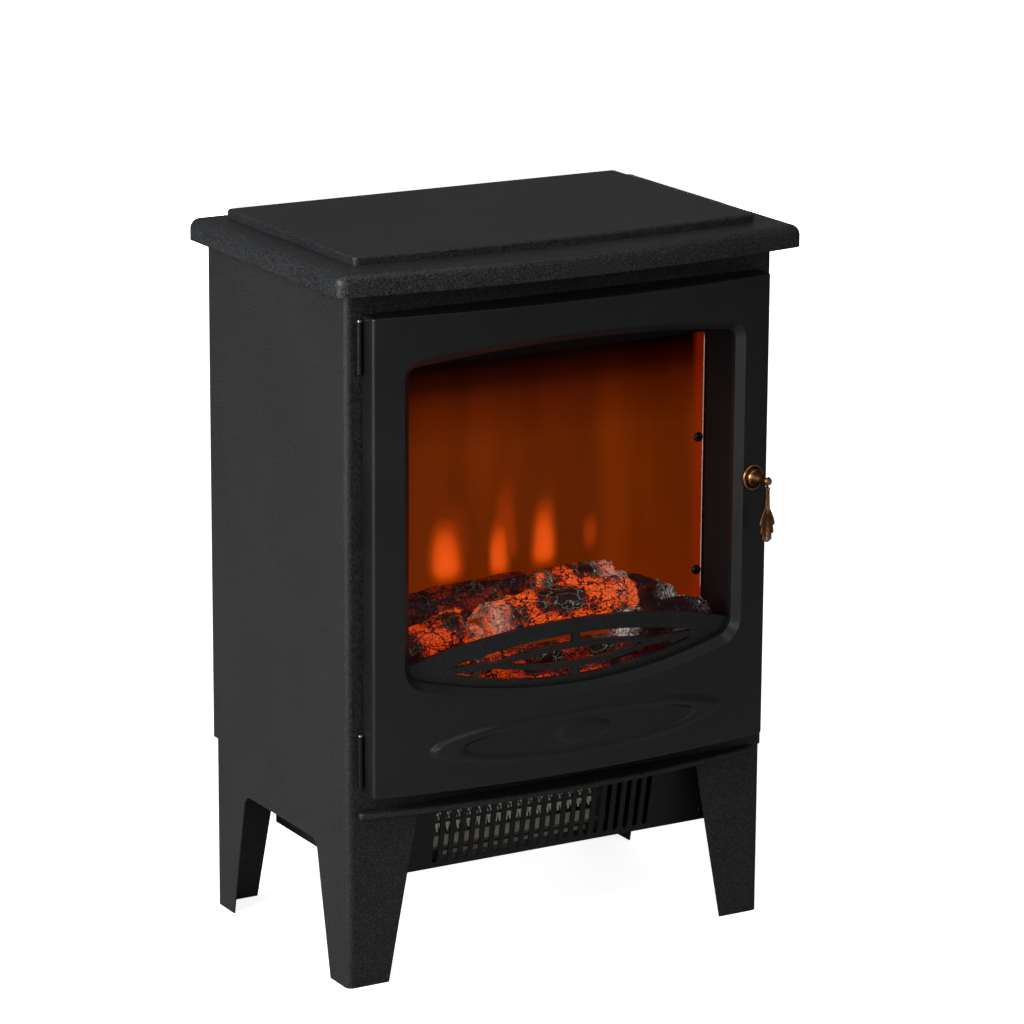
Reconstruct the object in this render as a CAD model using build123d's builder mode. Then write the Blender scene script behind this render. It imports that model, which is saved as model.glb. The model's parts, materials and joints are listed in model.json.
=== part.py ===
from build123d import *

import os
from math import atan, cos, radians, sin, sqrt

# Free-standing electric stove fireplace, millimetres.
# +X is to the right seen from the front, -Y is the front, +Z is up.  The origin is
# the middle of the footprint on the floor.  Every piece is a node of its own.

# ---- Driving dimensions ------------------------------------------------------
STOVE_WIDTH = 390.0
STOVE_DEPTH = 260.0            # lid, from its back edge to the crown of its bowed front
STOVE_HEIGHT = 548.0
HANDLE_REACH = 6.0             # how far the door handle stands ahead of the lid

LID_BACK = (STOVE_DEPTH + HANDLE_REACH) / 2
LID_BOW = 16.0
LID_FRONT_CORNER = LID_BACK - STOVE_DEPTH + LID_BOW
LID_SKIRT_Z = 525.2
LID_STEP_Z = 541.5
LID_EDGE_RADIUS = 9.0
LID_SKIN = 1.5
LID_CORNER_RADIUS = 9.0
PANEL_INSET_SIDE = 26.0
PANEL_INSET_BACK = 14.5
PANEL_BOW = 9.0

SHEET = 1.2                    # folded steel of cabinet and base
THIN_SHEET = 0.8               # folded steel of the inner boxes
BODY_HALF = 180.0
FRONT_Y = LID_BACK - 225.3     # outer face of the cabinet's front
BACK_Y = LID_BACK - 6.8        # rear edge of the cabinet's sides
SEAM_Z = 135.2                 # cabinet sits on the base here
CABINET_TOP = LID_STEP_Z - LID_SKIN
FOLD_RADIUS = 5.0

BASE_INSET = 1.0
LEG_FOOT = 34.0                # leg width on the floor, front and back
LEG_HIP = 58.0                 # leg width where it meets the skirt
SIDE_FOOT = 28.0
SIDE_HIP = 50.0
SIDE_ARCH_Z = 102.0
FRONT_ARCH_Z = 127.5

DOOR_HALF = 167.5
DOOR_BOTTOM = 150.5
DOOR_TOP = 507.5
DOOR_PROUD = 18.0              # door face ahead of the cabinet front, at its edges
DOOR_BOW = 15.0
DOOR_SKIN = 2.0
DOOR_GAP = 2.0
RIM_DEPTH = 10.0               # thickened surround of the window
RIM_WIDTH = 9.0
WINDOW_HALF = 144.0
WINDOW_CORNER_TOP = 474.0
WINDOW_CROWN = 484.0
WINDOW_CORNER_BOTTOM = 230.7
WINDOW_SAG = 212.0
BEVEL = 6.0

FRET_THICK = 4.5
FRET_SHOULDER = 243.5          # top edge of the log guard at the window's sides
FRET_CROWN = 265.5
LENS_HALF = 113.0
LENS_Z = 238.5
LENS_RISE = 16.0
RING_HALF = 76.0
RING_RISE = 9.5
HOLE_HALF = 58.0
HOLE_RISE = 5.2
FRET_BAR = 5.0

HEARTH_TOP = 136.0
HEARTH_LIP = 132.0
HEARTH_HALF = 171.0
HEARTH_EDGE = 4.0              # ledge ahead of the cabinet front, at its ends
HEARTH_BOW = 18.0

FIREBOX_HALF = 162.0
FIREBOX_FLOOR_Z = 209.0
APERTURE_TOP = 489.0
SCREEN_Y = FRONT_Y + 60.0      # front face of the flame screen
SCREEN_THICK = 3.0
SCREEN_TOP = 449.0
SCREEN_HALF = 160.0
REFLECTOR_Y = SCREEN_Y + 52.0
SPINDLE_Y = REFLECTOR_Y + 18.0
SPINDLE_Z = 256.0

GRILLE_SLOTS = 22
SLOT_PITCH = 8.74
SLOT_WIDTH = 4.5
SLOT_LENGTH = 42.6
GRILLE_LEAN = 10.5
GRILLE_BOTTOM = 73.0
GRILLE_HALF = 148.0
GRILLE_FOOT_Y = FRONT_Y + 25.0
TRAY_BACK = LID_BACK - 48.0

HANDLE_X = 152.5
HANDLE_Z = 354.0

os.makedirs("parts", exist_ok=True)


def save(part, label):
    """Label one finished piece and write it under its own name."""
    part.label = label
    export_step(part, f"parts/{label}.step")


def bowed_outline(half_width, back, edge, bow):
    """Plan outline with straight sides and back and a front bowed forward."""
    with BuildLine() as outline:
        Polyline((-half_width, edge), (-half_width, back), (half_width, back), (half_width, edge))
        ThreePointArc((half_width, edge), (0, edge - bow), (-half_width, edge))
    make_face(outline.edges())


def arched_outline(half_width, side_low, low, side_high, high):
    """Front outline with straight sides, a curved sill and a curved head."""
    with BuildLine() as outline:
        Line((-half_width, side_low), (-half_width, side_high))
        ThreePointArc((-half_width, side_high), (0, high), (half_width, side_high))
        Line((half_width, side_high), (half_width, side_low))
        ThreePointArc((half_width, side_low), (0, low), (-half_width, side_low))
    make_face(outline.edges())


def lens_outline(half_width, middle, rise, mode=Mode.ADD):
    """Two arcs that meet in points at the left and right."""
    with BuildLine() as outline:
        ThreePointArc((-half_width, middle), (0, middle + rise), (half_width, middle))
        ThreePointArc((half_width, middle), (0, middle - rise), (-half_width, middle))
    make_face(outline.edges(), mode=mode)


def door_face_ahead(x):
    """Distance of the bowed door face ahead of the cabinet front at x."""
    radius = (DOOR_HALF**2 + DOOR_BOW**2) / (2 * DOOR_BOW)
    return DOOR_PROUD + DOOR_BOW - (radius - sqrt(radius**2 - x**2))


def bowed_layer(low, high, depth_from, depth_to, half_width):
    """Band of constant depth behind the bowed door face."""
    edge_front = FRONT_Y - DOOR_PROUD + depth_from
    edge_back = FRONT_Y - DOOR_PROUD + depth_to
    scale = (half_width / DOOR_HALF) ** 2
    front_corner = edge_front - DOOR_BOW * (1 - scale)
    back_corner = edge_back - DOOR_BOW * (1 - scale)
    with BuildPart() as layer:
        with BuildSketch(Plane.XY.offset(low)):
            with BuildLine():
                Line((-half_width, front_corner), (-half_width, back_corner))
                ThreePointArc(
                    (-half_width, back_corner),
                    (0, edge_back - DOOR_BOW),
                    (half_width, back_corner),
                )
                Line((half_width, back_corner), (half_width, front_corner))
                ThreePointArc(
                    (half_width, front_corner),
                    (0, edge_front - DOOR_BOW),
                    (-half_width, front_corner),
                )
            make_face()
        extrude(amount=high - low)
    return layer.part


def facing(y):
    """Sketch plane looking at the front, at depth y: local x is X, local y is Z."""
    return Plane.XZ.offset(-y)


def from_side(x):
    """Sketch plane seen from the right, at x: local x is Y, local y is Z."""
    return Plane.YZ.offset(x)


def pan_head_screws(points, plane, head_radius, head_height, shank_radius, shank_length):
    """Group of equal pan-head screws whose heads stand on the plane."""
    with BuildPart() as screws:
        with BuildSketch(plane):
            with Locations(*points):
                Circle(head_radius)
        extrude(amount=head_height)
        crowns = screws.faces().group_by(Axis(plane.origin, plane.z_dir))[-1]
        fillet(crowns.edges(), head_height * 0.45)
        with BuildSketch(plane):
            with Locations(*points):
                Circle(shank_radius)
        extrude(amount=-shank_length)
        with BuildSketch(plane.offset(head_height)):
            with Locations(*points):
                Rectangle(head_radius * 1.1, head_radius * 0.22)
                Rectangle(head_radius * 0.22, head_radius * 1.1)
        extrude(amount=-head_height * 0.5, mode=Mode.SUBTRACT)
    return screws.part


# ---- Lid ---------------------------------------------------------------------
def lid_slab(inset, low, high, edge_radius, corner_radius):
    """Bowed slab whose upper edge is rounded, inset from the lid's outline."""
    with BuildPart() as slab:
        with BuildSketch(Plane.XY.offset(low)):
            bowed_outline(
                STOVE_WIDTH / 2 - inset, LID_BACK - inset, LID_FRONT_CORNER + inset, LID_BOW
            )
        extrude(amount=high - low)
        fillet(slab.edges().filter_by(Axis.Z), corner_radius)
        fillet(slab.faces().sort_by(Axis.Z)[-1].edges(), edge_radius)
    return slab.part


def lid_table(inset, low, high, edge_radius):
    """Raised middle of the lid, inset from its own outline."""
    half_width = STOVE_WIDTH / 2 - PANEL_INSET_SIDE - inset
    back = LID_BACK - PANEL_INSET_BACK - inset
    front = LID_FRONT_CORNER + PANEL_INSET_SIDE + inset
    with BuildPart() as table:
        with BuildSketch(Plane.XY.offset(low)):
            bowed_outline(half_width, back, front, PANEL_BOW)
        extrude(amount=high - low)
        fillet(table.edges().filter_by(Axis.Z), 4)
        fillet(table.faces().sort_by(Axis.Z)[-1].edges(), edge_radius)
    return table.part


LID_SCREW_SPOTS = [
    (side * (BODY_HALF - 9), depth) for side in (-1, 1) for depth in (FRONT_Y + 30, BACK_Y - 40)
]
SCREW_SHANK = 1.7
BLIND_DEPTH = 1.2

with BuildPart() as lid:
    add(lid_slab(0, LID_SKIRT_Z, LID_STEP_Z, LID_EDGE_RADIUS - 1, LID_CORNER_RADIUS))
    add(lid_table(0, LID_STEP_Z - LID_SKIN, STOVE_HEIGHT, 2.2))
    add(
        lid_slab(
            LID_SKIN,
            LID_SKIRT_Z - 1,
            LID_STEP_Z - LID_SKIN,
            LID_EDGE_RADIUS - 4,
            LID_CORNER_RADIUS - LID_SKIN,
        ),
        mode=Mode.SUBTRACT,
    )
    add(
        lid_table(LID_SKIN, LID_STEP_Z - 2 * LID_SKIN, STOVE_HEIGHT - LID_SKIN, 1.2),
        mode=Mode.SUBTRACT,
    )
    with BuildSketch(Plane.XY.offset(CABINET_TOP)):
        with Locations(*LID_SCREW_SPOTS):
            Circle(SCREW_SHANK)
    extrude(amount=BLIND_DEPTH, mode=Mode.SUBTRACT)
save(lid.part, "lid")

# ---- Cabinet: one folded sheet for sides and front, with a top panel -----------
BACK_FLANGE = 14.0
APERTURE_HALF = 157.0
CONTROL_HALF = 92.0
CONTROL_LOW = 161.0
CONTROL_HIGH = 201.0
HINGE_ZONES = [(157.0, 195.0), (465.0, 503.0)]


def u_outline(half_width, front, back, radius, mode=Mode.ADD):
    """Plan outline whose two front corners are folded to a radius."""
    with BuildLine() as outline:
        FilletPolyline(
            (-half_width, back),
            (-half_width, front),
            (half_width, front),
            (half_width, back),
            radius=radius,
        )
        Line((half_width, back), (-half_width, back))
    make_face(outline.edges(), mode=mode)


LEAF_SCREW_OFFSETS = (-8.0, 8.0)
LEAF_SCREW_X = -BODY_HALF + 26
LEAF_SCREW_RADIUS = 1.3
LEAF_SCREW_SPOTS = [
    (LEAF_SCREW_X, (low + high) / 2 + offset)
    for low, high in HINGE_ZONES
    for offset in LEAF_SCREW_OFFSETS
]
MAGNET_Z = 250.0
MAGNET_X = 160.5

with BuildPart() as cabinet_wrap:
    with BuildSketch(Plane.XY.offset(SEAM_Z)):
        u_outline(BODY_HALF, FRONT_Y, BACK_Y, FOLD_RADIUS)
        u_outline(
            BODY_HALF - SHEET, FRONT_Y + SHEET, BACK_Y, FOLD_RADIUS - SHEET, Mode.SUBTRACT
        )
    extrude(amount=CABINET_TOP - SHEET - SEAM_Z)
    with BuildSketch(Plane.XY.offset(SEAM_Z)):
        with GridLocations(2 * (BODY_HALF - SHEET - BACK_FLANGE / 2), 0, 2, 1):
            with Locations((0, BACK_Y - SHEET / 2)):
                Rectangle(BACK_FLANGE, SHEET)
    extrude(amount=CABINET_TOP - SHEET - SEAM_Z)
    with BuildSketch(facing(FRONT_Y)):
        with Locations((0, (FIREBOX_FLOOR_Z + APERTURE_TOP) / 2)):
            Rectangle(2 * APERTURE_HALF, APERTURE_TOP - FIREBOX_FLOOR_Z)
        with Locations((0, (CONTROL_LOW + CONTROL_HIGH) / 2)):
            Rectangle(2 * CONTROL_HALF, CONTROL_HIGH - CONTROL_LOW)
        with Locations(*LEAF_SCREW_SPOTS):
            Circle(LEAF_SCREW_RADIUS)
    extrude(amount=-2 * SHEET, mode=Mode.SUBTRACT)
save(cabinet_wrap.part, "cabinet_wrap")

with BuildPart() as top_panel:
    with BuildSketch(Plane.XY.offset(CABINET_TOP - SHEET)):
        u_outline(BODY_HALF, FRONT_Y, BACK_Y, FOLD_RADIUS)
        with Locations(*LID_SCREW_SPOTS):
            Circle(SCREW_SHANK, mode=Mode.SUBTRACT)
    extrude(amount=SHEET)
save(top_panel.part, "top_panel")

under_top = Plane(origin=(0, 0, CABINET_TOP - SHEET), x_dir=(1, 0, 0), z_dir=(0, 0, -1))
save(
    pan_head_screws(
        [(x, -y) for x, y in LID_SCREW_SPOTS],
        under_top,
        3.4,
        2.0,
        SCREW_SHANK,
        SHEET + BLIND_DEPTH - 0.1,
    ),
    "lid_screws",
)

# ---- Cabinet floor and rear cover ---------------------------------------------
FLOOR_HALF = BODY_HALF - SHEET
BASE_SCREW_SPOTS = [
    (side * (BODY_HALF - 12), depth) for side in (-1, 1) for depth in (FRONT_Y + 25, 20, BACK_Y - 20)
]
INTAKE_SLOTS = 9
INTAKE_PITCH = 14.0

with BuildPart() as floor_plate:
    with BuildSketch(Plane.XY.offset(SEAM_Z)):
        u_outline(FLOOR_HALF, FRONT_Y + SHEET, BACK_Y - SHEET, FOLD_RADIUS - SHEET)
        with Locations(*BASE_SCREW_SPOTS):
            Circle(SCREW_SHANK, mode=Mode.SUBTRACT)
        with Locations((0, BACK_Y - 28)):
            with GridLocations(INTAKE_PITCH, 0, INTAKE_SLOTS, 1):
                SlotOverall(24, 5, rotation=90, mode=Mode.SUBTRACT)
    extrude(amount=SHEET)
save(floor_plate.part, "floor_plate")

COVER_HALF = BODY_HALF - 2
COVER_LOW = SEAM_Z + 2
COVER_HIGH = CABINET_TOP - SHEET - 3
COVER_SCREW_SPOTS = [
    (side * (BODY_HALF - 9), height) for side in (-1, 1) for height in (155, 270, 385, 500)
]
VENT_ROWS = (300.0, 470.0)
VENT_COLUMNS = 15
VENT_PITCH = 14.0
GLAND_X = -120.0
GLAND_Z = 170.0
GLAND_NECK = 8.0
back_plane = Plane(origin=(0, BACK_Y, 0), x_dir=(-1, 0, 0), z_dir=(0, 1, 0))

with BuildPart() as back_cover:
    with BuildSketch(back_plane):
        with Locations((0, (COVER_LOW + COVER_HIGH) / 2)):
            RectangleRounded(2 * COVER_HALF, COVER_HIGH - COVER_LOW, 4)
        for row in VENT_ROWS:
            with Locations((0, row)):
                with GridLocations(VENT_PITCH, 0, VENT_COLUMNS, 1):
                    SlotOverall(34, 5, rotation=90, mode=Mode.SUBTRACT)
        with Locations((-GLAND_X, GLAND_Z)):
            Circle(GLAND_NECK, mode=Mode.SUBTRACT)
        with Locations(*COVER_SCREW_SPOTS):
            Circle(SCREW_SHANK, mode=Mode.SUBTRACT)
    extrude(amount=THIN_SHEET)
save(back_cover.part, "back_cover")

save(
    pan_head_screws(
        COVER_SCREW_SPOTS,
        back_plane.offset(THIN_SHEET),
        3.6,
        2.0,
        SCREW_SHANK,
        THIN_SHEET,
    ),
    "back_cover_screws",
)

with BuildPart() as cable_gland:
    with BuildSketch(back_plane.offset(THIN_SHEET)):
        with Locations((-GLAND_X, GLAND_Z)):
            RegularPolygon(12, 6)
    extrude(amount=2.4)
    with BuildSketch(back_plane.offset(THIN_SHEET + 2.4)):
        with Locations((-GLAND_X, GLAND_Z)):
            Circle(8.5)
    extrude(amount=2.4, taper=12)
    with BuildSketch(back_plane.offset(THIN_SHEET)):
        with Locations((-GLAND_X, GLAND_Z)):
            Circle(GLAND_NECK)
    extrude(amount=-14)
    with BuildSketch(back_plane):
        with Locations((-GLAND_X, GLAND_Z)):
            Circle(GLAND_NECK + 2.5)
            Circle(GLAND_NECK, mode=Mode.SUBTRACT)
    extrude(amount=-4)
    with BuildSketch(back_plane.offset(THIN_SHEET + 5)):
        with Locations((-GLAND_X, GLAND_Z)):
            Circle(4)
    extrude(amount=-22, mode=Mode.SUBTRACT)
save(cable_gland.part, "cable_gland")

# ---- Base: skirt and four folded legs -----------------------------------------
BASE_HALF = BODY_HALF - BASE_INSET
BASE_FRONT = FRONT_Y + BASE_INSET
BASE_BACK = BACK_Y - BASE_INSET
BASE_MIDDLE = (BASE_FRONT + BASE_BACK) / 2
BASE_DEPTH = BASE_BACK - BASE_FRONT
BASE_FLANGE = 16.0
LEDGE_SCREW = 1.3
LEDGE_SCREW_SPOTS = [(x, 130.2) for x in (-90, 0, 90)]


def arch_outline(half_foot, half_hip, top, corner):
    """Opening between two legs that widens towards the floor."""
    with BuildLine() as outline:
        FilletPolyline(
            (-half_foot, -1), (-half_hip, top), (half_hip, top), (half_foot, -1), radius=corner
        )
        Line((half_foot, -1), (-half_foot, -1))
    make_face(outline.edges())


with BuildPart() as base_frame:
    with BuildSketch(Plane.XY):
        with Locations((0, BASE_MIDDLE)):
            RectangleRounded(2 * BASE_HALF, BASE_DEPTH, FOLD_RADIUS)
            RectangleRounded(
                2 * (BASE_HALF - SHEET),
                BASE_DEPTH - 2 * SHEET,
                FOLD_RADIUS - SHEET,
                mode=Mode.SUBTRACT,
            )
    extrude(amount=SEAM_Z)
    with BuildSketch(Plane.XY.offset(SEAM_Z - SHEET)):
        with Locations((0, BASE_MIDDLE)):
            RectangleRounded(2 * BASE_HALF - 1, BASE_DEPTH - 1, FOLD_RADIUS)
            Rectangle(
                2 * (BASE_HALF - BASE_FLANGE), BASE_DEPTH - 2 * BASE_FLANGE, mode=Mode.SUBTRACT
            )
        with Locations((0, BASE_FRONT + 25)):
            Rectangle(2 * (BASE_HALF - BASE_FLANGE), 30, mode=Mode.SUBTRACT)
        with Locations(*BASE_SCREW_SPOTS):
            Circle(SCREW_SHANK, mode=Mode.SUBTRACT)
    extrude(amount=SHEET)
    with BuildSketch(facing(BASE_MIDDLE)):
        arch_outline(BASE_HALF - LEG_FOOT, BASE_HALF - LEG_HIP, FRONT_ARCH_Z, 3)
    extrude(amount=BASE_DEPTH, mode=Mode.SUBTRACT)
    with BuildSketch(facing(BASE_MIDDLE)):
        arch_outline(BASE_HALF - LEG_FOOT, BASE_HALF - LEG_HIP + 5, SIDE_ARCH_Z, 10)
    extrude(amount=-BASE_DEPTH, mode=Mode.SUBTRACT)
    side_plane = Plane(origin=(0, BASE_MIDDLE, 0), x_dir=(0, 1, 0), z_dir=(1, 0, 0))
    with BuildSketch(side_plane):
        arch_outline(BASE_DEPTH / 2 - SIDE_FOOT, BASE_DEPTH / 2 - SIDE_HIP, SIDE_ARCH_Z, 11)
    extrude(amount=BODY_HALF + 1, both=True, mode=Mode.SUBTRACT)
    with BuildSketch(facing(BASE_FRONT)):
        with Locations(*LEDGE_SCREW_SPOTS):
            Circle(LEDGE_SCREW)
    extrude(amount=-SHEET, mode=Mode.SUBTRACT)
save(base_frame.part, "base_frame")

under_flange = Plane(origin=(0, 0, SEAM_Z - SHEET), x_dir=(1, 0, 0), z_dir=(0, 0, -1))
save(
    pan_head_screws(
        [(x, -y) for x, y in BASE_SCREW_SPOTS],
        under_flange,
        3.4,
        2.0,
        SCREW_SHANK,
        2 * SHEET,
    ),
    "base_screws",
)

# ---- Hearth ledge --------------------------------------------------------------
LEDGE_SKIN = 1.4
LEDGE_STRIP = 214.0            # mounting strip behind the ledge
LEDGE_STRIP_Z = 128.0
with BuildPart() as hearth_ledge:
    with BuildSketch(Plane.XY.offset(HEARTH_LIP)):
        bowed_outline(HEARTH_HALF, FRONT_Y, FRONT_Y - HEARTH_EDGE, HEARTH_BOW)
    extrude(amount=HEARTH_TOP - HEARTH_LIP)
    fillet(hearth_ledge.edges().filter_by(Axis.Z).group_by(Axis.Y)[0], 3.5)
    front_edges = hearth_ledge.faces().sort_by(Axis.Z)[-1].edges().filter_by_position(
        Axis.Y, FRONT_Y - HEARTH_EDGE - HEARTH_BOW - 1, FRONT_Y - 0.5
    )
    fillet(front_edges, 1.8)
    with BuildSketch(Plane.XY.offset(HEARTH_LIP)):
        bowed_outline(
            HEARTH_HALF - LEDGE_SKIN,
            FRONT_Y - LEDGE_SKIN,
            FRONT_Y - HEARTH_EDGE + LEDGE_SKIN,
            HEARTH_BOW,
        )
    extrude(amount=HEARTH_TOP - HEARTH_LIP - LEDGE_SKIN - 0.4, mode=Mode.SUBTRACT)
    with BuildSketch(facing(FRONT_Y)):
        with Locations((0, (LEDGE_STRIP_Z + SEAM_Z) / 2)):
            Rectangle(LEDGE_STRIP, SEAM_Z - LEDGE_STRIP_Z)
    extrude(amount=-BASE_INSET)
    with BuildSketch(facing(FRONT_Y)):
        with Locations((0, (LEDGE_STRIP_Z + HEARTH_LIP) / 2)):
            Rectangle(LEDGE_STRIP, HEARTH_LIP - LEDGE_STRIP_Z)
    extrude(amount=LEDGE_SKIN)
    with BuildSketch(facing(BASE_FRONT)):
        with Locations(*LEDGE_SCREW_SPOTS):
            Circle(LEDGE_SCREW)
    extrude(amount=2 * LEDGE_SKIN, mode=Mode.SUBTRACT)
save(hearth_ledge.part, "hearth_ledge")

behind_strip = Plane(origin=(0, BASE_FRONT + SHEET, 0), x_dir=(-1, 0, 0), z_dir=(0, 1, 0))
save(
    pan_head_screws(
        [(-x, z) for x, z in LEDGE_SCREW_SPOTS],
        behind_strip,
        2.6,
        1.6,
        LEDGE_SCREW,
        SHEET + BASE_INSET + LEDGE_SKIN,
    ),
    "ledge_screws",
)

# ---- Door: bowed pan with a thick bevelled window surround ----------------------
DOOR_BACK = FRONT_Y - DOOR_GAP
DOOR_EDGE = FRONT_Y - DOOR_PROUD
DOOR_CROWN = DOOR_EDGE - DOOR_BOW
WINDOW_INNER = WINDOW_HALF - BEVEL


def window_block(shrink, corner_radius, front, back):
    """Solid as wide as the window opening, made smaller by shrink."""
    with BuildPart() as block:
        with BuildSketch(facing(back)):
            arched_outline(
                WINDOW_HALF - shrink,
                WINDOW_CORNER_BOTTOM + shrink,
                WINDOW_SAG + shrink,
                WINDOW_CORNER_TOP - shrink,
                WINDOW_CROWN - shrink,
            )
        extrude(amount=back - front)
        upright = block.edges().filter_by(Axis.Y)
        fillet(upright.group_by(Axis.Z)[-1], corner_radius)
        upright = block.edges().filter_by(Axis.Y)
        sill_corners = upright.filter_by_position(
            Axis.Z, WINDOW_SAG, WINDOW_CORNER_BOTTOM + shrink + 1
        )
        fillet(sill_corners, 1.9 * corner_radius)
    return block.part


def window_surround():
    """Thick band of the door that frames the window."""
    with BuildPart() as surround:
        add(window_block(BEVEL - RIM_WIDTH, 12, DOOR_CROWN - 5, FRONT_Y))
        add(
            bowed_layer(DOOR_BOTTOM, DOOR_TOP, DOOR_SKIN / 2, RIM_DEPTH, DOOR_HALF - DOOR_SKIN),
            mode=Mode.INTERSECT,
        )
    return surround.part


def oval_relief(half_width, middle, rise, height, depth):
    """Oval relief that stands on the bowed face by height."""
    with BuildPart() as relief:
        with BuildSketch(facing(FRONT_Y)):
            with Locations((0, middle)):
                Ellipse(half_width, rise)
        extrude(amount=DOOR_PROUD + DOOR_BOW + 10)
        add(
            bowed_layer(DOOR_BOTTOM, DOOR_TOP, -height, depth, DOOR_HALF),
            mode=Mode.INTERSECT,
        )
    return relief.part


handle_face_y = FRONT_Y - door_face_ahead(HANDLE_X)
door_radius = (DOOR_HALF**2 + DOOR_BOW**2) / (2 * DOOR_BOW)
handle_tilt = atan(HANDLE_X / sqrt(door_radius**2 - HANDLE_X**2))
handle_out = Vector(sin(handle_tilt), -cos(handle_tilt), 0)
handle_along = Vector(cos(handle_tilt), sin(handle_tilt), 0)
HANDLE_PLANE = Plane(
    origin=(HANDLE_X, handle_face_y, HANDLE_Z), x_dir=handle_along, z_dir=handle_out
)
STUD_RADIUS = 2.0
ORNAMENT_HALF = 122.0
ORNAMENT_Z = 182.0
ORNAMENT_RISE = 17.0
ORNAMENT_BOSS = 22.0
RELIEF = 0.5
RIVET_RADIUS = 1.1


def door_leaf_spots(low, high):
    """Rivets that hold the door's leaf to its left return, as (y, z)."""
    middle = (low + high) / 2
    return [(DOOR_BACK - 8, middle + offset) for offset in LEAF_SCREW_OFFSETS]


with BuildPart() as door_frame:
    with BuildSketch(Plane.XY.offset(DOOR_BOTTOM)):
        bowed_outline(DOOR_HALF, DOOR_BACK, DOOR_EDGE, DOOR_BOW)
    extrude(amount=DOOR_TOP - DOOR_BOTTOM)
    fillet(door_frame.edges().filter_by(Axis.Z).group_by(Axis.Y)[0], 2.5)
    rims = door_frame.faces().filter_by(Axis.Z)
    fillet(
        rims.edges().filter_by_position(Axis.Y, DOOR_CROWN - 1, DOOR_BACK - 0.5), 1.4
    )
    with BuildSketch(Plane.XY.offset(DOOR_BOTTOM + DOOR_SKIN)):
        pan_half = DOOR_HALF - DOOR_SKIN
        pan_edge = FRONT_Y - door_face_ahead(pan_half) + DOOR_SKIN
        bowed_outline(pan_half, DOOR_BACK, pan_edge, pan_edge - DOOR_CROWN - DOOR_SKIN)
    extrude(amount=DOOR_TOP - DOOR_BOTTOM - 2 * DOOR_SKIN, mode=Mode.SUBTRACT)
    add(window_surround())
    add(window_block(BEVEL, 7, DOOR_CROWN - 5, FRONT_Y), mode=Mode.SUBTRACT)
    bowed_face = door_frame.faces().filter_by(GeomType.CYLINDER).sort_by(SortBy.AREA)[-1]
    chamfer(bowed_face.inner_wires()[0].edges(), BEVEL)
    add(oval_relief(ORNAMENT_HALF, ORNAMENT_Z, ORNAMENT_RISE, RELIEF, DOOR_SKIN / 2))
    add(
        oval_relief(ORNAMENT_HALF - 22, ORNAMENT_Z, ORNAMENT_RISE - 4, 2 * RELIEF, 0),
        mode=Mode.SUBTRACT,
    )
    add(oval_relief(ORNAMENT_BOSS, ORNAMENT_Z, ORNAMENT_RISE / 2, RELIEF, DOOR_SKIN / 2))
    with BuildSketch(HANDLE_PLANE):
        Circle(STUD_RADIUS)
    extrude(amount=-2 * DOOR_SKIN, both=True, mode=Mode.SUBTRACT)
    for low, high in HINGE_ZONES:
        with BuildSketch(from_side(-DOOR_HALF + 0.5)):
            with Locations(*door_leaf_spots(low, high)):
                Circle(RIVET_RADIUS)
        extrude(amount=DOOR_SKIN, mode=Mode.SUBTRACT)
save(door_frame.part, "door_frame")

# ---- Log guard: cast fret behind the lower window -------------------------------
FRET_HALF = WINDOW_INNER + 6.0
FRET_SCREW_SPOTS = [(side * (FRET_HALF - 3.2), height) for side in (-1, 1) for height in (232, 241)]

FRET_SCREW = 0.9


def behind_fret(x, z):
    """Plane on the back of the fret at x and z, facing the cabinet."""
    slope = atan(x / sqrt(door_radius**2 - x**2))
    outward = Vector(sin(slope), -cos(slope), 0)
    on_face = Vector(x, FRONT_Y - door_face_ahead(x), z)
    return Plane(
        origin=on_face - outward * (RIM_DEPTH + FRET_THICK), x_dir=(0, 0, 1), z_dir=outward * -1
    )


with BuildPart() as door_fret:
    with BuildSketch(facing(FRONT_Y)):
        arched_outline(
            FRET_HALF,
            WINDOW_CORNER_BOTTOM - 3,
            WINDOW_SAG - 2,
            FRET_SHOULDER,
            FRET_CROWN,
        )
    extrude(amount=DOOR_PROUD + DOOR_BOW)
    with BuildSketch(facing(FRONT_Y)):
        lens_outline(LENS_HALF, LENS_Z, LENS_RISE)
        lens_outline(RING_HALF, LENS_Z, RING_RISE, Mode.SUBTRACT)
        with Locations((0, LENS_Z)):
            Rectangle(2 * LENS_HALF, FRET_BAR, mode=Mode.SUBTRACT)
            Rectangle(FRET_BAR + 1, 2 * LENS_RISE + 2, mode=Mode.SUBTRACT)
        lens_outline(HOLE_HALF, LENS_Z, HOLE_RISE)
    extrude(amount=DOOR_PROUD + DOOR_BOW, mode=Mode.SUBTRACT)
    add(
        bowed_layer(DOOR_BOTTOM, DOOR_TOP, RIM_DEPTH, RIM_DEPTH + FRET_THICK, DOOR_HALF - DOOR_SKIN),
        mode=Mode.INTERSECT,
    )
    for spot in FRET_SCREW_SPOTS:
        with BuildSketch(behind_fret(*spot).offset(1)):
            Circle(FRET_SCREW)
        extrude(amount=-FRET_THICK - 3, mode=Mode.SUBTRACT)
save(door_fret.part, "door_fret")

with BuildPart() as fret_screws:
    for spot in FRET_SCREW_SPOTS:
        add(pan_head_screws([(0, 0)], behind_fret(*spot), 2.4, 1.4, FRET_SCREW, FRET_THICK))
save(fret_screws.part, "fret_screws")

# ---- Hinges: two butt hinges in the gap at the door's left edge ------------------
KNUCKLE = 2.3
HINGE_PIN = 1.1
HINGE_X = -DOOR_HALF - KNUCKLE - 0.1
HINGE_Y = FRONT_Y - KNUCKLE - 0.1
LEAF = 0.9
LEAF_WIDTH = 21.0
END_KNUCKLE = 11.0
KNUCKLE_PLAY = 0.15
RUNNING = 0.05


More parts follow.
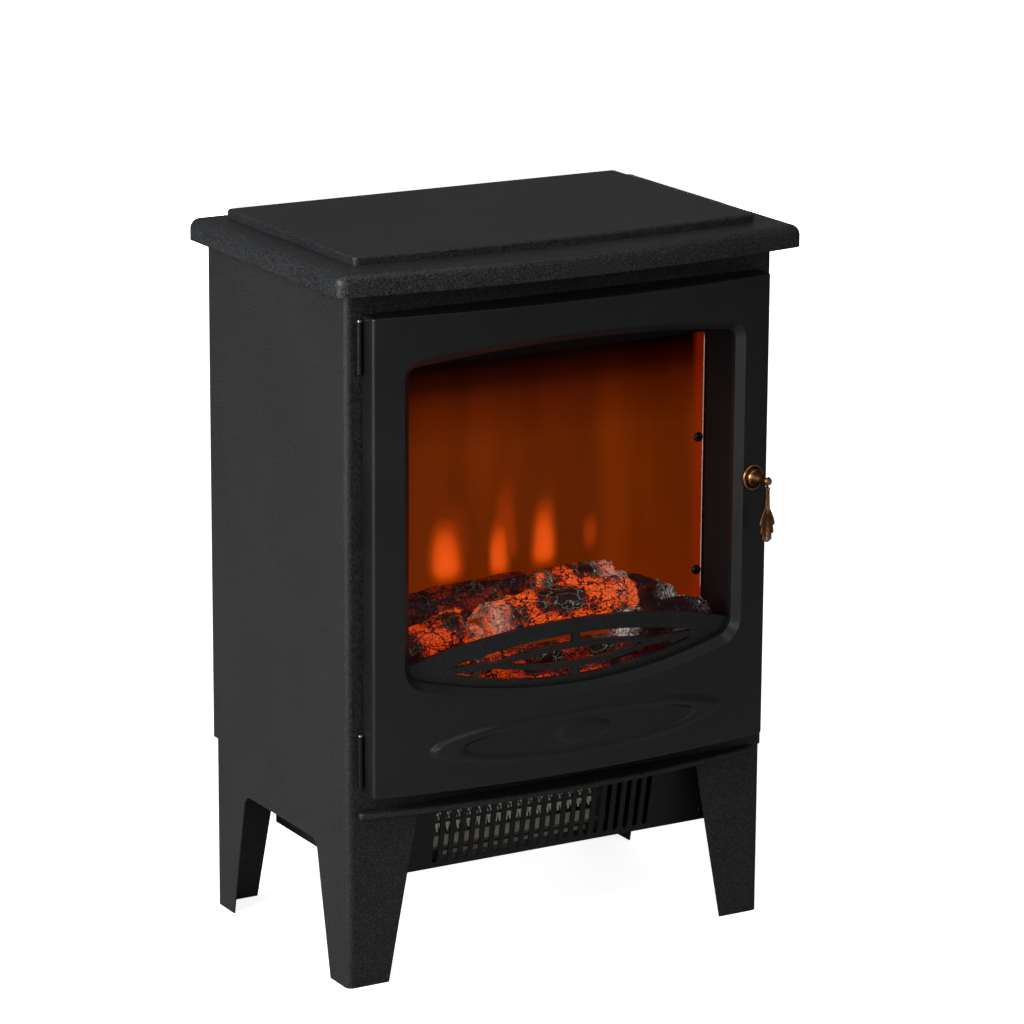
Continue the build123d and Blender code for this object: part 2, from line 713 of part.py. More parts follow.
def frame_leaf(low, high):
    """Leaf on the cabinet with the two outer knuckles."""
    with BuildPart() as leaf:
        with BuildSketch(Plane.XY.offset(low)):
            with Locations((HINGE_X + LEAF_WIDTH / 2, FRONT_Y - LEAF / 2)):
                Rectangle(LEAF_WIDTH, LEAF)
            with Locations((HINGE_X, HINGE_Y)):
                Circle(KNUCKLE)
        extrude(amount=high - low)
        with BuildSketch(Plane.XY.offset(low + END_KNUCKLE)):
            with Locations((HINGE_X, HINGE_Y)):
                Rectangle(2 * KNUCKLE + 0.6, 2 * KNUCKLE + 2)
        extrude(amount=high - low - 2 * END_KNUCKLE, mode=Mode.SUBTRACT)
        with BuildSketch(Plane.XY.offset(low)):
            with Locations((HINGE_X, HINGE_Y)):
                Circle(HINGE_PIN)
        extrude(amount=high - low, mode=Mode.SUBTRACT)
        middle = (low + high) / 2
        with BuildSketch(facing(FRONT_Y)):
            with Locations(*[(LEAF_SCREW_X, middle + offset) for offset in LEAF_SCREW_OFFSETS]):
                Circle(LEAF_SCREW_RADIUS)
        extrude(amount=LEAF, mode=Mode.SUBTRACT)
    return leaf.part


def door_leaf(low, high):
    """Bent leaf on the door's return with the middle knuckle."""
    flat_y = FRONT_Y - LEAF - 0.1 - LEAF / 2
    upstand_x = -DOOR_HALF + DOOR_SKIN + LEAF / 2
    flat_start = HINGE_X + KNUCKLE + 0.3
    with BuildPart() as leaf:
        with BuildSketch(Plane.XY.offset(low + 1)):
            with Locations(((flat_start + upstand_x + LEAF / 2) / 2, flat_y)):
                Rectangle(upstand_x + LEAF / 2 - flat_start, LEAF)
            with Locations((upstand_x, flat_y - 7)):
                Rectangle(LEAF, 14 + LEAF)
        extrude(amount=high - low - 2)
        with BuildSketch(Plane.XY.offset(low + END_KNUCKLE + KNUCKLE_PLAY)):
            with Locations((HINGE_X, HINGE_Y)):
                Circle(KNUCKLE)
            with Locations(((HINGE_X + flat_start) / 2 + 0.2, flat_y)):
                Rectangle(flat_start - HINGE_X + 0.4, LEAF)
            with Locations((HINGE_X, HINGE_Y)):
                Circle(HINGE_PIN + RUNNING, mode=Mode.SUBTRACT)
        extrude(amount=high - low - 2 * END_KNUCKLE - 2 * KNUCKLE_PLAY)
        with BuildSketch(from_side(upstand_x - LEAF)):
            with Locations(*door_leaf_spots(low, high)):
                Circle(RIVET_RADIUS)
        extrude(amount=2 * LEAF, mode=Mode.SUBTRACT)
    return leaf.part


def hinge_pin(low, high):
    """Pin with a small domed head that stays in the outer knuckles."""
    with BuildPart() as pin:
        with BuildSketch(Plane.XY.offset(low)):
            with Locations((HINGE_X, HINGE_Y)):
                Circle(HINGE_PIN)
        extrude(amount=high - low)
        with BuildSketch(Plane.XY.offset(high)):
            with Locations((HINGE_X, HINGE_Y)):
                Circle(HINGE_PIN + 0.8)
        extrude(amount=1.2)
        fillet(pin.faces().sort_by(Axis.Z)[-1].edges(), 0.5)
    return pin.part


for make_piece, piece_name in (
    (frame_leaf, "hinge_frame_leaves"),
    (door_leaf, "hinge_door_leaves"),
    (hinge_pin, "hinge_pins"),
):
    with BuildPart() as hinge_pair:
        for zone_low, zone_high in HINGE_ZONES:
            add(make_piece(zone_low, zone_high))
    save(hinge_pair.part, piece_name)

save(
    pan_head_screws(
        LEAF_SCREW_SPOTS, facing(FRONT_Y - LEAF), 2.4, 1.2, LEAF_SCREW_RADIUS, LEAF + SHEET
    ),
    "hinge_screws",
)
rivet_plane = Plane(
    origin=(-DOOR_HALF + DOOR_SKIN + LEAF, 0, 0), x_dir=(0, 1, 0), z_dir=(1, 0, 0)
)
save(
    pan_head_screws(
        door_leaf_spots(*HINGE_ZONES[0]) + door_leaf_spots(*HINGE_ZONES[1]),
        rivet_plane,
        2.2,
        1.1,
        RIVET_RADIUS,
        LEAF + DOOR_SKIN - 0.5,
    ),
    "hinge_rivets",
)

# ---- Magnetic catch ---------------------------------------------------------------
MAGNET_DEPTH = 11.6
MAGNET_WIDTH = 7.0
MAGNET_HEIGHT = 26.0
STRIKE = 1.2
with BuildPart() as door_magnet:
    with BuildSketch(facing(FRONT_Y)):
        with Locations((MAGNET_X, MAGNET_Z)):
            RectangleRounded(MAGNET_WIDTH, MAGNET_HEIGHT, 1.5)
    extrude(amount=MAGNET_DEPTH)
    chamfer(door_magnet.faces().sort_by(Axis.Y)[0].edges(), 0.6)
save(door_magnet.part, "door_magnet")

with BuildPart() as strike_plate:
    inner_x = DOOR_HALF - DOOR_SKIN
    with BuildSketch(Plane.XY.offset(MAGNET_Z - MAGNET_HEIGHT / 2)):
        with Locations((inner_x - 6, FRONT_Y - MAGNET_DEPTH - 0.3 - STRIKE / 2)):
            Rectangle(12, STRIKE)
        with Locations((inner_x - STRIKE / 2, FRONT_Y - MAGNET_DEPTH - 0.3 + 2.5)):
            Rectangle(STRIKE, 8)
    extrude(amount=MAGNET_HEIGHT)
save(strike_plate.part, "strike_plate")

# ---- Door handle: rosette, post and hanging pull -----------------------------------
KNUCKLE_BALL = 3.4
TONGUE = 2.2
TONGUE_SLOT = 2.7
PULL_PIN = 0.9
EYE = 2.8
PULL_LENGTH = 47.0
slot_half = TONGUE_SLOT / 2
ball_reach = sqrt(KNUCKLE_BALL**2 - slot_half**2) * cos(handle_tilt) + slot_half * sin(handle_tilt)
handle_standoff = (handle_face_y + LID_BACK - ball_reach) / cos(handle_tilt)
handle_axis = Axis(HANDLE_PLANE.origin, handle_out)
handle_section = Plane(origin=HANDLE_PLANE.origin, x_dir=handle_along, z_dir=(0, 0, -1))

with BuildPart() as handle_rosette:
    with BuildSketch(handle_section):
        with BuildLine():
            rim_line = Polyline((STUD_RADIUS, 0), (10, 0), (10, 1.0))
            rim_arc = JernArc(rim_line @ 1, (0, 1), 1.7, 75)
            step = Polyline(rim_arc @ 1, (7.4, 2.2), (6.8, 2.4), (6.5, 3.8))
            cap = ThreePointArc(step @ 1, (5.6, 5.0), (4.2, 5.6))
            Polyline(cap @ 1, (STUD_RADIUS, 5.6), (STUD_RADIUS, 0))
        make_face()
    revolve(axis=handle_axis)
save(handle_rosette.part, "handle_rosette")

with BuildPart() as handle_post:
    with BuildSketch(handle_section):
        with BuildLine():
            Polyline((0, -8), (STUD_RADIUS, -8), (STUD_RADIUS, 5.6), (3.6, 5.6), (3.4, 6.6))
            ThreePointArc((3.4, 6.6), (2.5, 9.2), (2.2, 12.2))
            Polyline((2.2, 12.2), (2.2, handle_standoff), (0, handle_standoff), (0, -8))
        make_face()
    revolve(axis=handle_axis)
    with Locations(HANDLE_PLANE.offset(handle_standoff)):
        Sphere(KNUCKLE_BALL)
    with BuildSketch(HANDLE_PLANE.offset(handle_standoff - KNUCKLE_BALL)):
        Rectangle(TONGUE_SLOT, 4 * KNUCKLE_BALL)
    extrude(amount=3 * KNUCKLE_BALL, mode=Mode.SUBTRACT)
    pin_plane = Plane(
        origin=HANDLE_PLANE.origin + handle_out * handle_standoff,
        x_dir=(0, 0, 1),
        z_dir=handle_along,
    )
    with BuildSketch(pin_plane):
        Circle(PULL_PIN)
    extrude(amount=KNUCKLE_BALL + 1, both=True, mode=Mode.SUBTRACT)
save(handle_post.part, "handle_post")

with BuildPart() as handle_pin:
    with BuildSketch(pin_plane):
        Circle(PULL_PIN)
    extrude(amount=KNUCKLE_BALL - 0.3, both=True)
save(handle_pin.part, "handle_pin")

PULL_PLANE = HANDLE_PLANE.offset(handle_standoff)
STEM_TOP = -5.0
STEM_FOOT = -20.0
STEM_HALF = 2.2


def pull_side(side):
    """One edge of the pull: a slim stem that swells to a shell and ends in a point."""
    return [
        (side * STEM_HALF, STEM_TOP),
        (side * 1.8, STEM_FOOT),
        (side * 4.2, -28),
        (side * 7.4, -33),
        (side * 7.0, -39),
        (side * 3.6, -45.4),
        (0, -PULL_LENGTH),
    ]


with BuildPart() as handle_pull:
    with BuildSketch(pin_plane):
        Circle(EYE)
    extrude(amount=TONGUE / 2, both=True)
    with BuildSketch(PULL_PLANE):
        with Locations((0, STEM_TOP / 2)):
            Rectangle(TONGUE, -STEM_TOP + 1)
    extrude(amount=1.2, both=True)
    with BuildSketch(Plane(origin=PULL_PLANE.origin, x_dir=handle_along, z_dir=handle_out)):
        with BuildLine():
            Line((-STEM_HALF, STEM_TOP), (STEM_HALF, STEM_TOP))
            Spline(*pull_side(1))
            Spline(*reversed(pull_side(-1)))
        make_face()
    extrude(amount=1.9, both=True)
    with BuildSketch(pin_plane):
        Circle(PULL_PIN + RUNNING)
    extrude(amount=TONGUE, both=True, mode=Mode.SUBTRACT)
save(handle_pull.part, "handle_pull")

with BuildPart() as handle_nut:
    with BuildSketch(HANDLE_PLANE.offset(-DOOR_SKIN - 0.05)):
        RegularPolygon(4.2, 6)
        Circle(STUD_RADIUS, mode=Mode.SUBTRACT)
    extrude(amount=-3)
save(handle_nut.part, "handle_nut")

# ---- Heater: leaning grille, tray, element and cross-flow fan ------------------------
GRILLE_RISE = 61.5
LEAN = radians(GRILLE_LEAN)
SLOT_FIRST = 4.5               # lower end of the slots above the grille's foot
SLOT_ROW_X = -2.3
grille_plane = Plane(
    origin=(0, GRILLE_FOOT_Y, GRILLE_BOTTOM), x_dir=(1, 0, 0), z_dir=(0, -cos(LEAN), -sin(LEAN))
)
GRILLE_SCREW_SPOTS = [(side * (GRILLE_HALF - 8), height) for side in (-1, 1) for height in (9, 52)]

with BuildPart() as heater_grille:
    with BuildSketch(grille_plane):
        with Locations((0, GRILLE_RISE / 2)):
            Rectangle(2 * GRILLE_HALF, GRILLE_RISE)
        with Locations((SLOT_ROW_X, SLOT_FIRST + SLOT_LENGTH / 2)):
            with GridLocations(SLOT_PITCH, 0, GRILLE_SLOTS, 1):
                SlotOverall(SLOT_LENGTH, SLOT_WIDTH, rotation=90, mode=Mode.SUBTRACT)
        with Locations(*GRILLE_SCREW_SPOTS):
            Circle(SCREW_SHANK, mode=Mode.SUBTRACT)
    extrude(amount=-SHEET)
save(heater_grille.part, "heater_grille")
save(
    pan_head_screws(GRILLE_SCREW_SPOTS, grille_plane, 3.0, 1.6, SCREW_SHANK, SHEET),
    "grille_screws",
)

GRILLE_TOP_Y = GRILLE_FOOT_Y - GRILLE_RISE * sin(LEAN)
GRILLE_TOP_Z = GRILLE_BOTTOM + GRILLE_RISE * cos(LEAN)
TRAY_SHELF = SHEET / cos(LEAN)
TRAY_EAR = 18.0


def tray_side(margin):
    """Side outline of the tray, shrunk by margin; it opens at the front and top."""
    front = TRAY_SHELF + (0 if margin == 0 else -2)
    with BuildLine() as outline:
        Polyline(
            (GRILLE_FOOT_Y + front, GRILLE_BOTTOM + margin),
            (GRILLE_TOP_Y + front, GRILLE_TOP_Z),
            (GRILLE_TOP_Y + front, SEAM_Z + margin),
            (TRAY_BACK - margin, SEAM_Z + margin),
            (TRAY_BACK - margin, GRILLE_BOTTOM + margin),
            close=True,
        )
    make_face(outline.edges())


with BuildPart() as heater_tray:
    with BuildSketch(from_side(-GRILLE_HALF)):
        tray_side(0)
    extrude(amount=2 * GRILLE_HALF)
    with BuildSketch(from_side(-GRILLE_HALF + THIN_SHEET)):
        tray_side(THIN_SHEET)
    extrude(amount=2 * (GRILLE_HALF - THIN_SHEET), mode=Mode.SUBTRACT)
    with BuildSketch(grille_plane.offset(-SHEET)):
        with GridLocations(2 * GRILLE_HALF - TRAY_EAR, 0, 2, 1):
            with Locations((0, GRILLE_RISE / 2)):
                Rectangle(TRAY_EAR, GRILLE_RISE)
    extrude(amount=-THIN_SHEET)
    with BuildSketch(facing(TRAY_BACK)):
        with Locations((0, (GRILLE_BOTTOM + SEAM_Z) / 2)):
            with GridLocations(14, 0, 17, 1):
                SlotOverall(40, 5, rotation=90)
    extrude(amount=2 * THIN_SHEET, mode=Mode.SUBTRACT)
save(heater_tray.part, "heater_tray")

FAN_Y = GRILLE_FOOT_Y + 66.0
FAN_Z = (GRILLE_BOTTOM + SEAM_Z) / 2
FAN_RADIUS = 22.0
FAN_LEFT = -96.0
FAN_RIGHT = 62.0
BLADES = 18
SHAFT = 2.5
ELEMENT_Y = GRILLE_FOOT_Y + 17.0
ELEMENT_DEPTH = 12.0
ELEMENT_HEIGHT = 46.0
ELEMENT_MIDDLE = (FAN_LEFT + FAN_RIGHT) / 2
ELEMENT_LENGTH = FAN_RIGHT - FAN_LEFT
MICA = 2.0
WIRES = 25
WIRE_PITCH = 6.0

with BuildPart() as heater_element_frame:
    with BuildSketch(facing(ELEMENT_Y)):
        with Locations((ELEMENT_MIDDLE, FAN_Z)):
            Rectangle(ELEMENT_LENGTH, ELEMENT_HEIGHT)
            Rectangle(ELEMENT_LENGTH - 2 * MICA, ELEMENT_HEIGHT - 2 * MICA, mode=Mode.SUBTRACT)
            Rectangle(ELEMENT_LENGTH, MICA)
    extrude(amount=ELEMENT_DEPTH / 2, both=True)
    with BuildSketch(Plane.XY.offset(GRILLE_BOTTOM + THIN_SHEET)):
        with Locations((ELEMENT_MIDDLE, ELEMENT_Y)):
            with GridLocations(ELEMENT_LENGTH - 20, 0, 2, 1):
                Rectangle(10, 6)
    extrude(amount=FAN_Z - ELEMENT_HEIGHT / 2 - GRILLE_BOTTOM - THIN_SHEET + 0.5)
save(heater_element_frame.part, "heater_element_frame")

cell_height = ELEMENT_HEIGHT / 2 - 1.5 * MICA
with BuildPart() as heater_wires:
    for cell_z in (FAN_Z + MICA / 2, FAN_Z - MICA / 2 - cell_height):
        with BuildSketch(Plane.XY.offset(cell_z)):
            with Locations((ELEMENT_MIDDLE, ELEMENT_Y)):
                with GridLocations(WIRE_PITCH, 6, WIRES, 2):
                    Circle(0.6)
        extrude(amount=cell_height)
save(heater_wires.part, "heater_wires")

with BuildPart() as thermal_cutout:
    with BuildSketch(Plane.XY.offset(FAN_Z + ELEMENT_HEIGHT / 2)):
        with Locations((ELEMENT_MIDDLE + 30, ELEMENT_Y)):
            Circle(5)
    extrude(amount=5)
    with BuildSketch(Plane.XY.offset(FAN_Z + ELEMENT_HEIGHT / 2)):
        with Locations((ELEMENT_MIDDLE + 30, ELEMENT_Y)):
            Rectangle(20, 5)
    extrude(amount=0.8)
save(thermal_cutout.part, "thermal_cutout")

with BuildPart() as fan_rotor:
    for end_x in (FAN_LEFT + 4, FAN_RIGHT - 6):
        with BuildSketch(from_side(end_x)):
            with Locations((FAN_Y, FAN_Z)):
                Circle(FAN_RADIUS)
                Circle(SHAFT, mode=Mode.SUBTRACT)
        extrude(amount=1.5)
    with BuildSketch(from_side(FAN_LEFT + 4)):
        with Locations((FAN_Y, FAN_Z)):
            with PolarLocations(FAN_RADIUS - 3.2, BLADES):
                Rectangle(5.5, 0.8, rotation=35)
    extrude(amount=ELEMENT_LENGTH - 8.5)
save(fan_rotor.part, "fan_rotor")

MOTOR_LEFT = FAN_RIGHT + 8.0
MOTOR_RIGHT = MOTOR_LEFT + 30.0
with BuildPart() as fan_shaft:
    with BuildSketch(from_side(FAN_LEFT - 10)):
        with Locations((FAN_Y, FAN_Z)):
            Circle(SHAFT)
    extrude(amount=MOTOR_RIGHT + 4 - FAN_LEFT + 10)
save(fan_shaft.part, "fan_shaft")

bearing_height = FAN_Z - GRILLE_BOTTOM - THIN_SHEET
with BuildPart() as fan_bearing:
    with BuildSketch(from_side(FAN_LEFT - 7)):
        with Locations((FAN_Y, FAN_Z)):
            Circle(8)
        with Locations((FAN_Y, FAN_Z - bearing_height / 2)):
            Rectangle(16, bearing_height)
        with Locations((FAN_Y, FAN_Z)):
            Circle(SHAFT + RUNNING, mode=Mode.SUBTRACT)
    extrude(amount=4)
    with BuildSketch(Plane.XY.offset(GRILLE_BOTTOM + THIN_SHEET)):
        with Locations((FAN_LEFT - 12, FAN_Y)):
            Rectangle(12, 16)
    extrude(amount=1.2)
save(fan_bearing.part, "fan_bearing")

with BuildPart() as fan_motor:
    with BuildSketch(from_side(MOTOR_LEFT)):
        with Locations((FAN_Y, FAN_Z)):
            RectangleRounded(44, 44, 6)
    extrude(amount=14)
    with BuildSketch(from_side(MOTOR_LEFT)):
        with Locations((FAN_Y, FAN_Z)):
            Circle(17)
    extrude(amount=MOTOR_RIGHT - MOTOR_LEFT)
    with BuildSketch(Plane.XY.offset(GRILLE_BOTTOM + THIN_SHEET)):
        with Locations((MOTOR_LEFT + 7, FAN_Y)):
            Rectangle(10, 30)
    extrude(amount=FAN_Z - 20 - GRILLE_BOTTOM - THIN_SHEET)
    with BuildSketch(from_side(MOTOR_LEFT - 1)):
        with Locations((FAN_Y, FAN_Z)):
            Circle(SHAFT + RUNNING)
    extrude(amount=MOTOR_RIGHT - MOTOR_LEFT + 2, mode=Mode.SUBTRACT)
save(fan_motor.part, "fan_motor")

SCROLL_RADIUS = FAN_RADIUS + 4.0
with BuildPart() as fan_scroll:
    with BuildSketch(from_side(FAN_LEFT)):
        with Locations((FAN_Y, FAN_Z)):
            Circle(SCROLL_RADIUS + THIN_SHEET)
            Circle(SCROLL_RADIUS, mode=Mode.SUBTRACT)
        with Locations((FAN_Y, FAN_Z - SCROLL_RADIUS + 2)):
            Rectangle(3 * SCROLL_RADIUS, 2 * SCROLL_RADIUS, mode=Mode.SUBTRACT)
    extrude(amount=ELEMENT_LENGTH)
    with BuildSketch(from_side(FAN_LEFT)):
        with Locations((FAN_Y, (FAN_Z + SCROLL_RADIUS - 0.5 + SEAM_Z) / 2)):
            Rectangle(10, SEAM_Z - FAN_Z - SCROLL_RADIUS + 0.5)
    extrude(amount=ELEMENT_LENGTH)
save(fan_scroll.part, "fan_scroll")

# ---- Firebox: walls, sloping roof, floor, flame screen and logs ------------------------
BOX_BACK = REFLECTOR_Y + 46.0
BOX_FRONT = FRONT_Y + SHEET
FLANGE = 10.0
SCREEN_SCREW_X = SCREEN_HALF - 4.5
SCREEN_SCREW_Z = (262.0, 367.0)
SCREEN_SPOTS = [(side * SCREEN_SCREW_X, height) for side in (-1, 1) for height in SCREEN_SCREW_Z]
ROOF_LIP_Z = APERTURE_TOP
ROOF_LOW_Z = SCREEN_TOP

for side, side_name in ((-1, "left"), (1, "right")):
    wall_x = side * (FIREBOX_HALF + THIN_SHEET / 2)
    with BuildPart() as firebox_wall:
        with BuildSketch(Plane.XY.offset(FIREBOX_FLOOR_Z - THIN_SHEET)):
            with Locations((wall_x, (BOX_FRONT + BOX_BACK) / 2)):
                Rectangle(THIN_SHEET, BOX_BACK - BOX_FRONT)
            with Locations((wall_x + side * FLANGE / 2, BOX_FRONT + THIN_SHEET / 2)):
                Rectangle(FLANGE, THIN_SHEET)
        extrude(amount=APERTURE_TOP + 4 - FIREBOX_FLOOR_Z)
        with BuildSketch(Plane.XY.offset(FIREBOX_FLOOR_Z)):
            with Locations(
                (wall_x - side * FLANGE / 2, SCREEN_Y + SCREEN_THICK + THIN_SHEET / 2)
            ):
                Rectangle(FLANGE, THIN_SHEET)
        extrude(amount=SCREEN_TOP - FIREBOX_FLOOR_Z - 2)
        with BuildSketch(facing(SCREEN_Y)):
            with Locations(*[(side * SCREEN_SCREW_X, height) for height in SCREEN_SCREW_Z]):
                Circle(SCREW_SHANK)
        extrude(amount=-SCREEN_THICK - 2, mode=Mode.SUBTRACT)
    save(firebox_wall.part, f"firebox_wall_{side_name}")

with BuildPart() as flame_screen:
    with BuildSketch(facing(SCREEN_Y)):
        with Locations((0, (FIREBOX_FLOOR_Z + SCREEN_TOP) / 2)):
            Rectangle(2 * SCREEN_HALF, SCREEN_TOP - FIREBOX_FLOOR_Z - 0.4)
        with Locations(*SCREEN_SPOTS):
            Circle(SCREW_SHANK, mode=Mode.SUBTRACT)
    extrude(amount=-SCREEN_THICK)
save(flame_screen.part, "flame_screen")
save(
    pan_head_screws(
        SCREEN_SPOTS, facing(SCREEN_Y), 3.9, 2.4, SCREW_SHANK, SCREEN_THICK + THIN_SHEET
    ),
    "flame_screen_screws",
)

with BuildPart() as firebox_roof:
    with BuildSketch(from_side(-FIREBOX_HALF)):
        with BuildLine():
            Polyline(
                (BOX_FRONT, ROOF_LIP_Z),
                (SCREEN_Y - 1, ROOF_LOW_Z),
                (BOX_BACK, ROOF_LOW_Z),
                (BOX_BACK, ROOF_LOW_Z + THIN_SHEET),
                (SCREEN_Y - 1 + THIN_SHEET, ROOF_LOW_Z + THIN_SHEET),
                (BOX_FRONT + THIN_SHEET, ROOF_LIP_Z + THIN_SHEET),
                (BOX_FRONT + THIN_SHEET, ROOF_LIP_Z + 10),
                (BOX_FRONT, ROOF_LIP_Z + 10),
                close=True,
            )
        make_face()
    extrude(amount=2 * FIREBOX_HALF)
save(firebox_roof.part, "firebox_roof")

EMBER_SLOT = 240.0
EMBER_Y = FRONT_Y + 32.0
with BuildPart() as firebox_floor:
    with BuildSketch(Plane.XY.offset(FIREBOX_FLOOR_Z - THIN_SHEET)):
        with Locations((0, (BOX_FRONT + BOX_BACK) / 2)):
            Rectangle(2 * FIREBOX_HALF, BOX_BACK - BOX_FRONT)
        with Locations((0, EMBER_Y)):
            SlotOverall(EMBER_SLOT, 18, mode=Mode.SUBTRACT)
    extrude(amount=THIN_SHEET)
save(firebox_floor.part, "firebox_floor")

with BuildPart() as light_box_back:
    with BuildSketch(facing(BOX_BACK)):
        with Locations((0, (FIREBOX_FLOOR_Z - THIN_SHEET + SCREEN_TOP + THIN_SHEET) / 2)):
            Rectangle(2 * FIREBOX_HALF + 2 * THIN_SHEET, SCREEN_TOP - FIREBOX_FLOOR_Z + 2 * THIN_SHEET)
    extrude(amount=-THIN_SHEET)
save(light_box_back.part, "light_box_back")

# The glowing log set is one moulded shell: an ember bed with rough logs across it.
LOG_BED_TOP = 226.0
LOGS = [
    # start x, y, z, end x, y, z, radius
    (-140, -52, 264, -20, -49, 269, 15.0),
    (-72, -64, 246, 62, -60, 256, 19.0),
    (-142, -74, 234, -76, -66, 246, 17.0),
    (-20, -52, 271, 42, -50, 271, 14.0),
    (34, -50, 268, 118, -52, 244, 14.5),
    (46, -70, 236, 142, -64, 236, 15.0),
    (-60, -76, 224, 40, -76, 226, 10.0),
]
LOG_BACK = SCREEN_Y - 1.5
with BuildPart() as log_set:
    with BuildSketch(Plane.XY.offset(FIREBOX_FLOOR_Z)):
        with Locations((0, (BOX_FRONT + 3 + LOG_BACK) / 2)):
            RectangleRounded(284, LOG_BACK - BOX_FRONT - 3, 6)
    extrude(amount=LOG_BED_TOP - FIREBOX_FLOOR_Z, taper=12)
    for start_x, start_y, start_z, end_x, end_y, end_z, log_radius in LOGS:
        start = Vector(start_x, start_y, start_z)
        run = Vector(end_x, end_y, end_z) - start
        with BuildSketch(Plane(origin=start, x_dir=(0, 1, 0), z_dir=run)):
            RegularPolygon(log_radius, 9)
        extrude(amount=run.length, taper=0.6)
save(log_set.part, "log_set")

# ---- Flame effect: cut-out reflector, turning spindle with mirror flags, lamps ----------
FLAME_CUTS = [(-118, 96), (-78, 132), (-40, 110), (0, 150), (38, 104), (76, 128), (116, 92)]
CUT_FOOT = FIREBOX_FLOOR_Z + 34.0
with BuildPart() as flame_reflector:
    with BuildSketch(facing(REFLECTOR_Y)):
        with Locations((0, (FIREBOX_FLOOR_Z + SCREEN_TOP) / 2)):
            Rectangle(2 * FIREBOX_HALF, SCREEN_TOP - FIREBOX_FLOOR_Z)
    extrude(amount=-THIN_SHEET)
    for cut_x, cut_height in FLAME_CUTS:
        with BuildSketch(facing(REFLECTOR_Y)):
            with BuildLine():
                tip = (cut_x + 4, CUT_FOOT + cut_height)
                ThreePointArc((cut_x, CUT_FOOT), (cut_x - 9, CUT_FOOT + 0.35 * cut_height), tip)
                ThreePointArc(tip, (cut_x + 11, CUT_FOOT + 0.3 * cut_height), (cut_x, CUT_FOOT))
            make_face()
        extrude(amount=-2 * THIN_SHEET, mode=Mode.SUBTRACT)
save(flame_reflector.part, "flame_reflector")

SPINDLE_ROD = 1.5
SPINDLE_LEFT = -160.0
SPINDLE_RIGHT = 146.0
FLAG_RADIUS = 13.0
FLAGS = 14
FLAG_PITCH = 19.0
with BuildPart() as flame_spindle:
    with BuildSketch(from_side(SPINDLE_LEFT)):
        with Locations((SPINDLE_Y, SPINDLE_Z)):
            Circle(SPINDLE_ROD)
    extrude(amount=SPINDLE_RIGHT - SPINDLE_LEFT)
    for flag in range(FLAGS):
        flag_x = (flag - (FLAGS - 1) / 2) * FLAG_PITCH
        with BuildSketch(from_side(flag_x - 5)):
            with Locations((SPINDLE_Y, SPINDLE_Z)):
                Rectangle(2 * FLAG_RADIUS, 0.6, rotation=flag * 50)
        extrude(amount=10)
save(flame_spindle.part, "flame_spindle")

SPINDLE_MOTOR_LEFT = 140.0
with BuildPart() as spindle_motor:
    with BuildSketch(from_side(SPINDLE_MOTOR_LEFT)):
        with Locations((SPINDLE_Y, SPINDLE_Z)):
            Circle(15)
    extrude(amount=FIREBOX_HALF - SPINDLE_MOTOR_LEFT)
    fillet(spindle_motor.faces().sort_by(Axis.X)[0].edges(), 1.5)
    with BuildSketch(from_side(FIREBOX_HALF - 1)):
        with Locations((SPINDLE_Y, SPINDLE_Z)):
            SlotOverall(44, 10, rotation=90)
    extrude(amount=1)
    with BuildSketch(from_side(SPINDLE_MOTOR_LEFT)):
        with Locations((SPINDLE_Y, SPINDLE_Z)):
            Circle(SPINDLE_ROD + RUNNING)
    extrude(amount=8, mode=Mode.SUBTRACT)
save(spindle_motor.part, "spindle_motor")

with BuildPart() as spindle_bush:
    with BuildSketch(from_side(-FIREBOX_HALF)):
        with Locations((SPINDLE_Y, SPINDLE_Z)):
            Circle(7)
    extrude(amount=10)
    with BuildSketch(from_side(-FIREBOX_HALF)):
        with Locations((SPINDLE_Y, SPINDLE_Z)):
            SlotOverall(30, 9)
    extrude(amount=1.5)
    with BuildSketch(from_side(-FIREBOX_HALF)):
        with Locations((SPINDLE_Y, SPINDLE_Z)):
            Circle(SPINDLE_ROD + RUNNING)
    extrude(amount=12, mode=Mode.SUBTRACT)
    with BuildSketch(from_side(-FIREBOX_HALF)):
        with Locations((SPINDLE_Y, SPINDLE_Z)):
            Circle(SPINDLE_ROD + RUNNING)
    extrude(amount=-1, mode=Mode.SUBTRACT)
save(spindle_bush.part, "spindle_bush")


def lamp_board(length, width, lamps, pitch, floor_z, middle_y):
    """Circuit board with a row of domed lamps and a foot at each end."""
    with BuildPart() as board:
        with BuildSketch(Plane.XY.offset(floor_z)):
            with Locations((0, middle_y)):
                Rectangle(length, width)
        extrude(amount=1.6)
        with BuildSketch(Plane.XY.offset(floor_z + 1.6)):
            with Locations((0, middle_y)):
                with GridLocations(pitch, 0, lamps, 1):
                    Circle(2.5)
        extrude(amount=3)
    return board.part


FLAME_BOARD_Z = FIREBOX_FLOOR_Z
save(lamp_board(250, 14, 8, 30, FLAME_BOARD_Z, SPINDLE_Y + 12), "flame_lamp_board")

EMBER_BOARD_Z = FIREBOX_FLOOR_Z - THIN_SHEET - 5.0
with BuildPart() as ember_lamp_board:
    add(lamp_board(264, 22, 7, 34, EMBER_BOARD_Z, EMBER_Y))
    with BuildSketch(Plane.XY.offset(EMBER_BOARD_Z + 1.6)):
        with Locations((0, EMBER_Y)):
            with GridLocations(254, 0, 2, 1):
                Rectangle(8, 12)
    extrude(amount=FIREBOX_FLOOR_Z - THIN_SHEET - EMBER_BOARD_Z - 1.6)
save(ember_lamp_board.part, "ember_lamp_board")

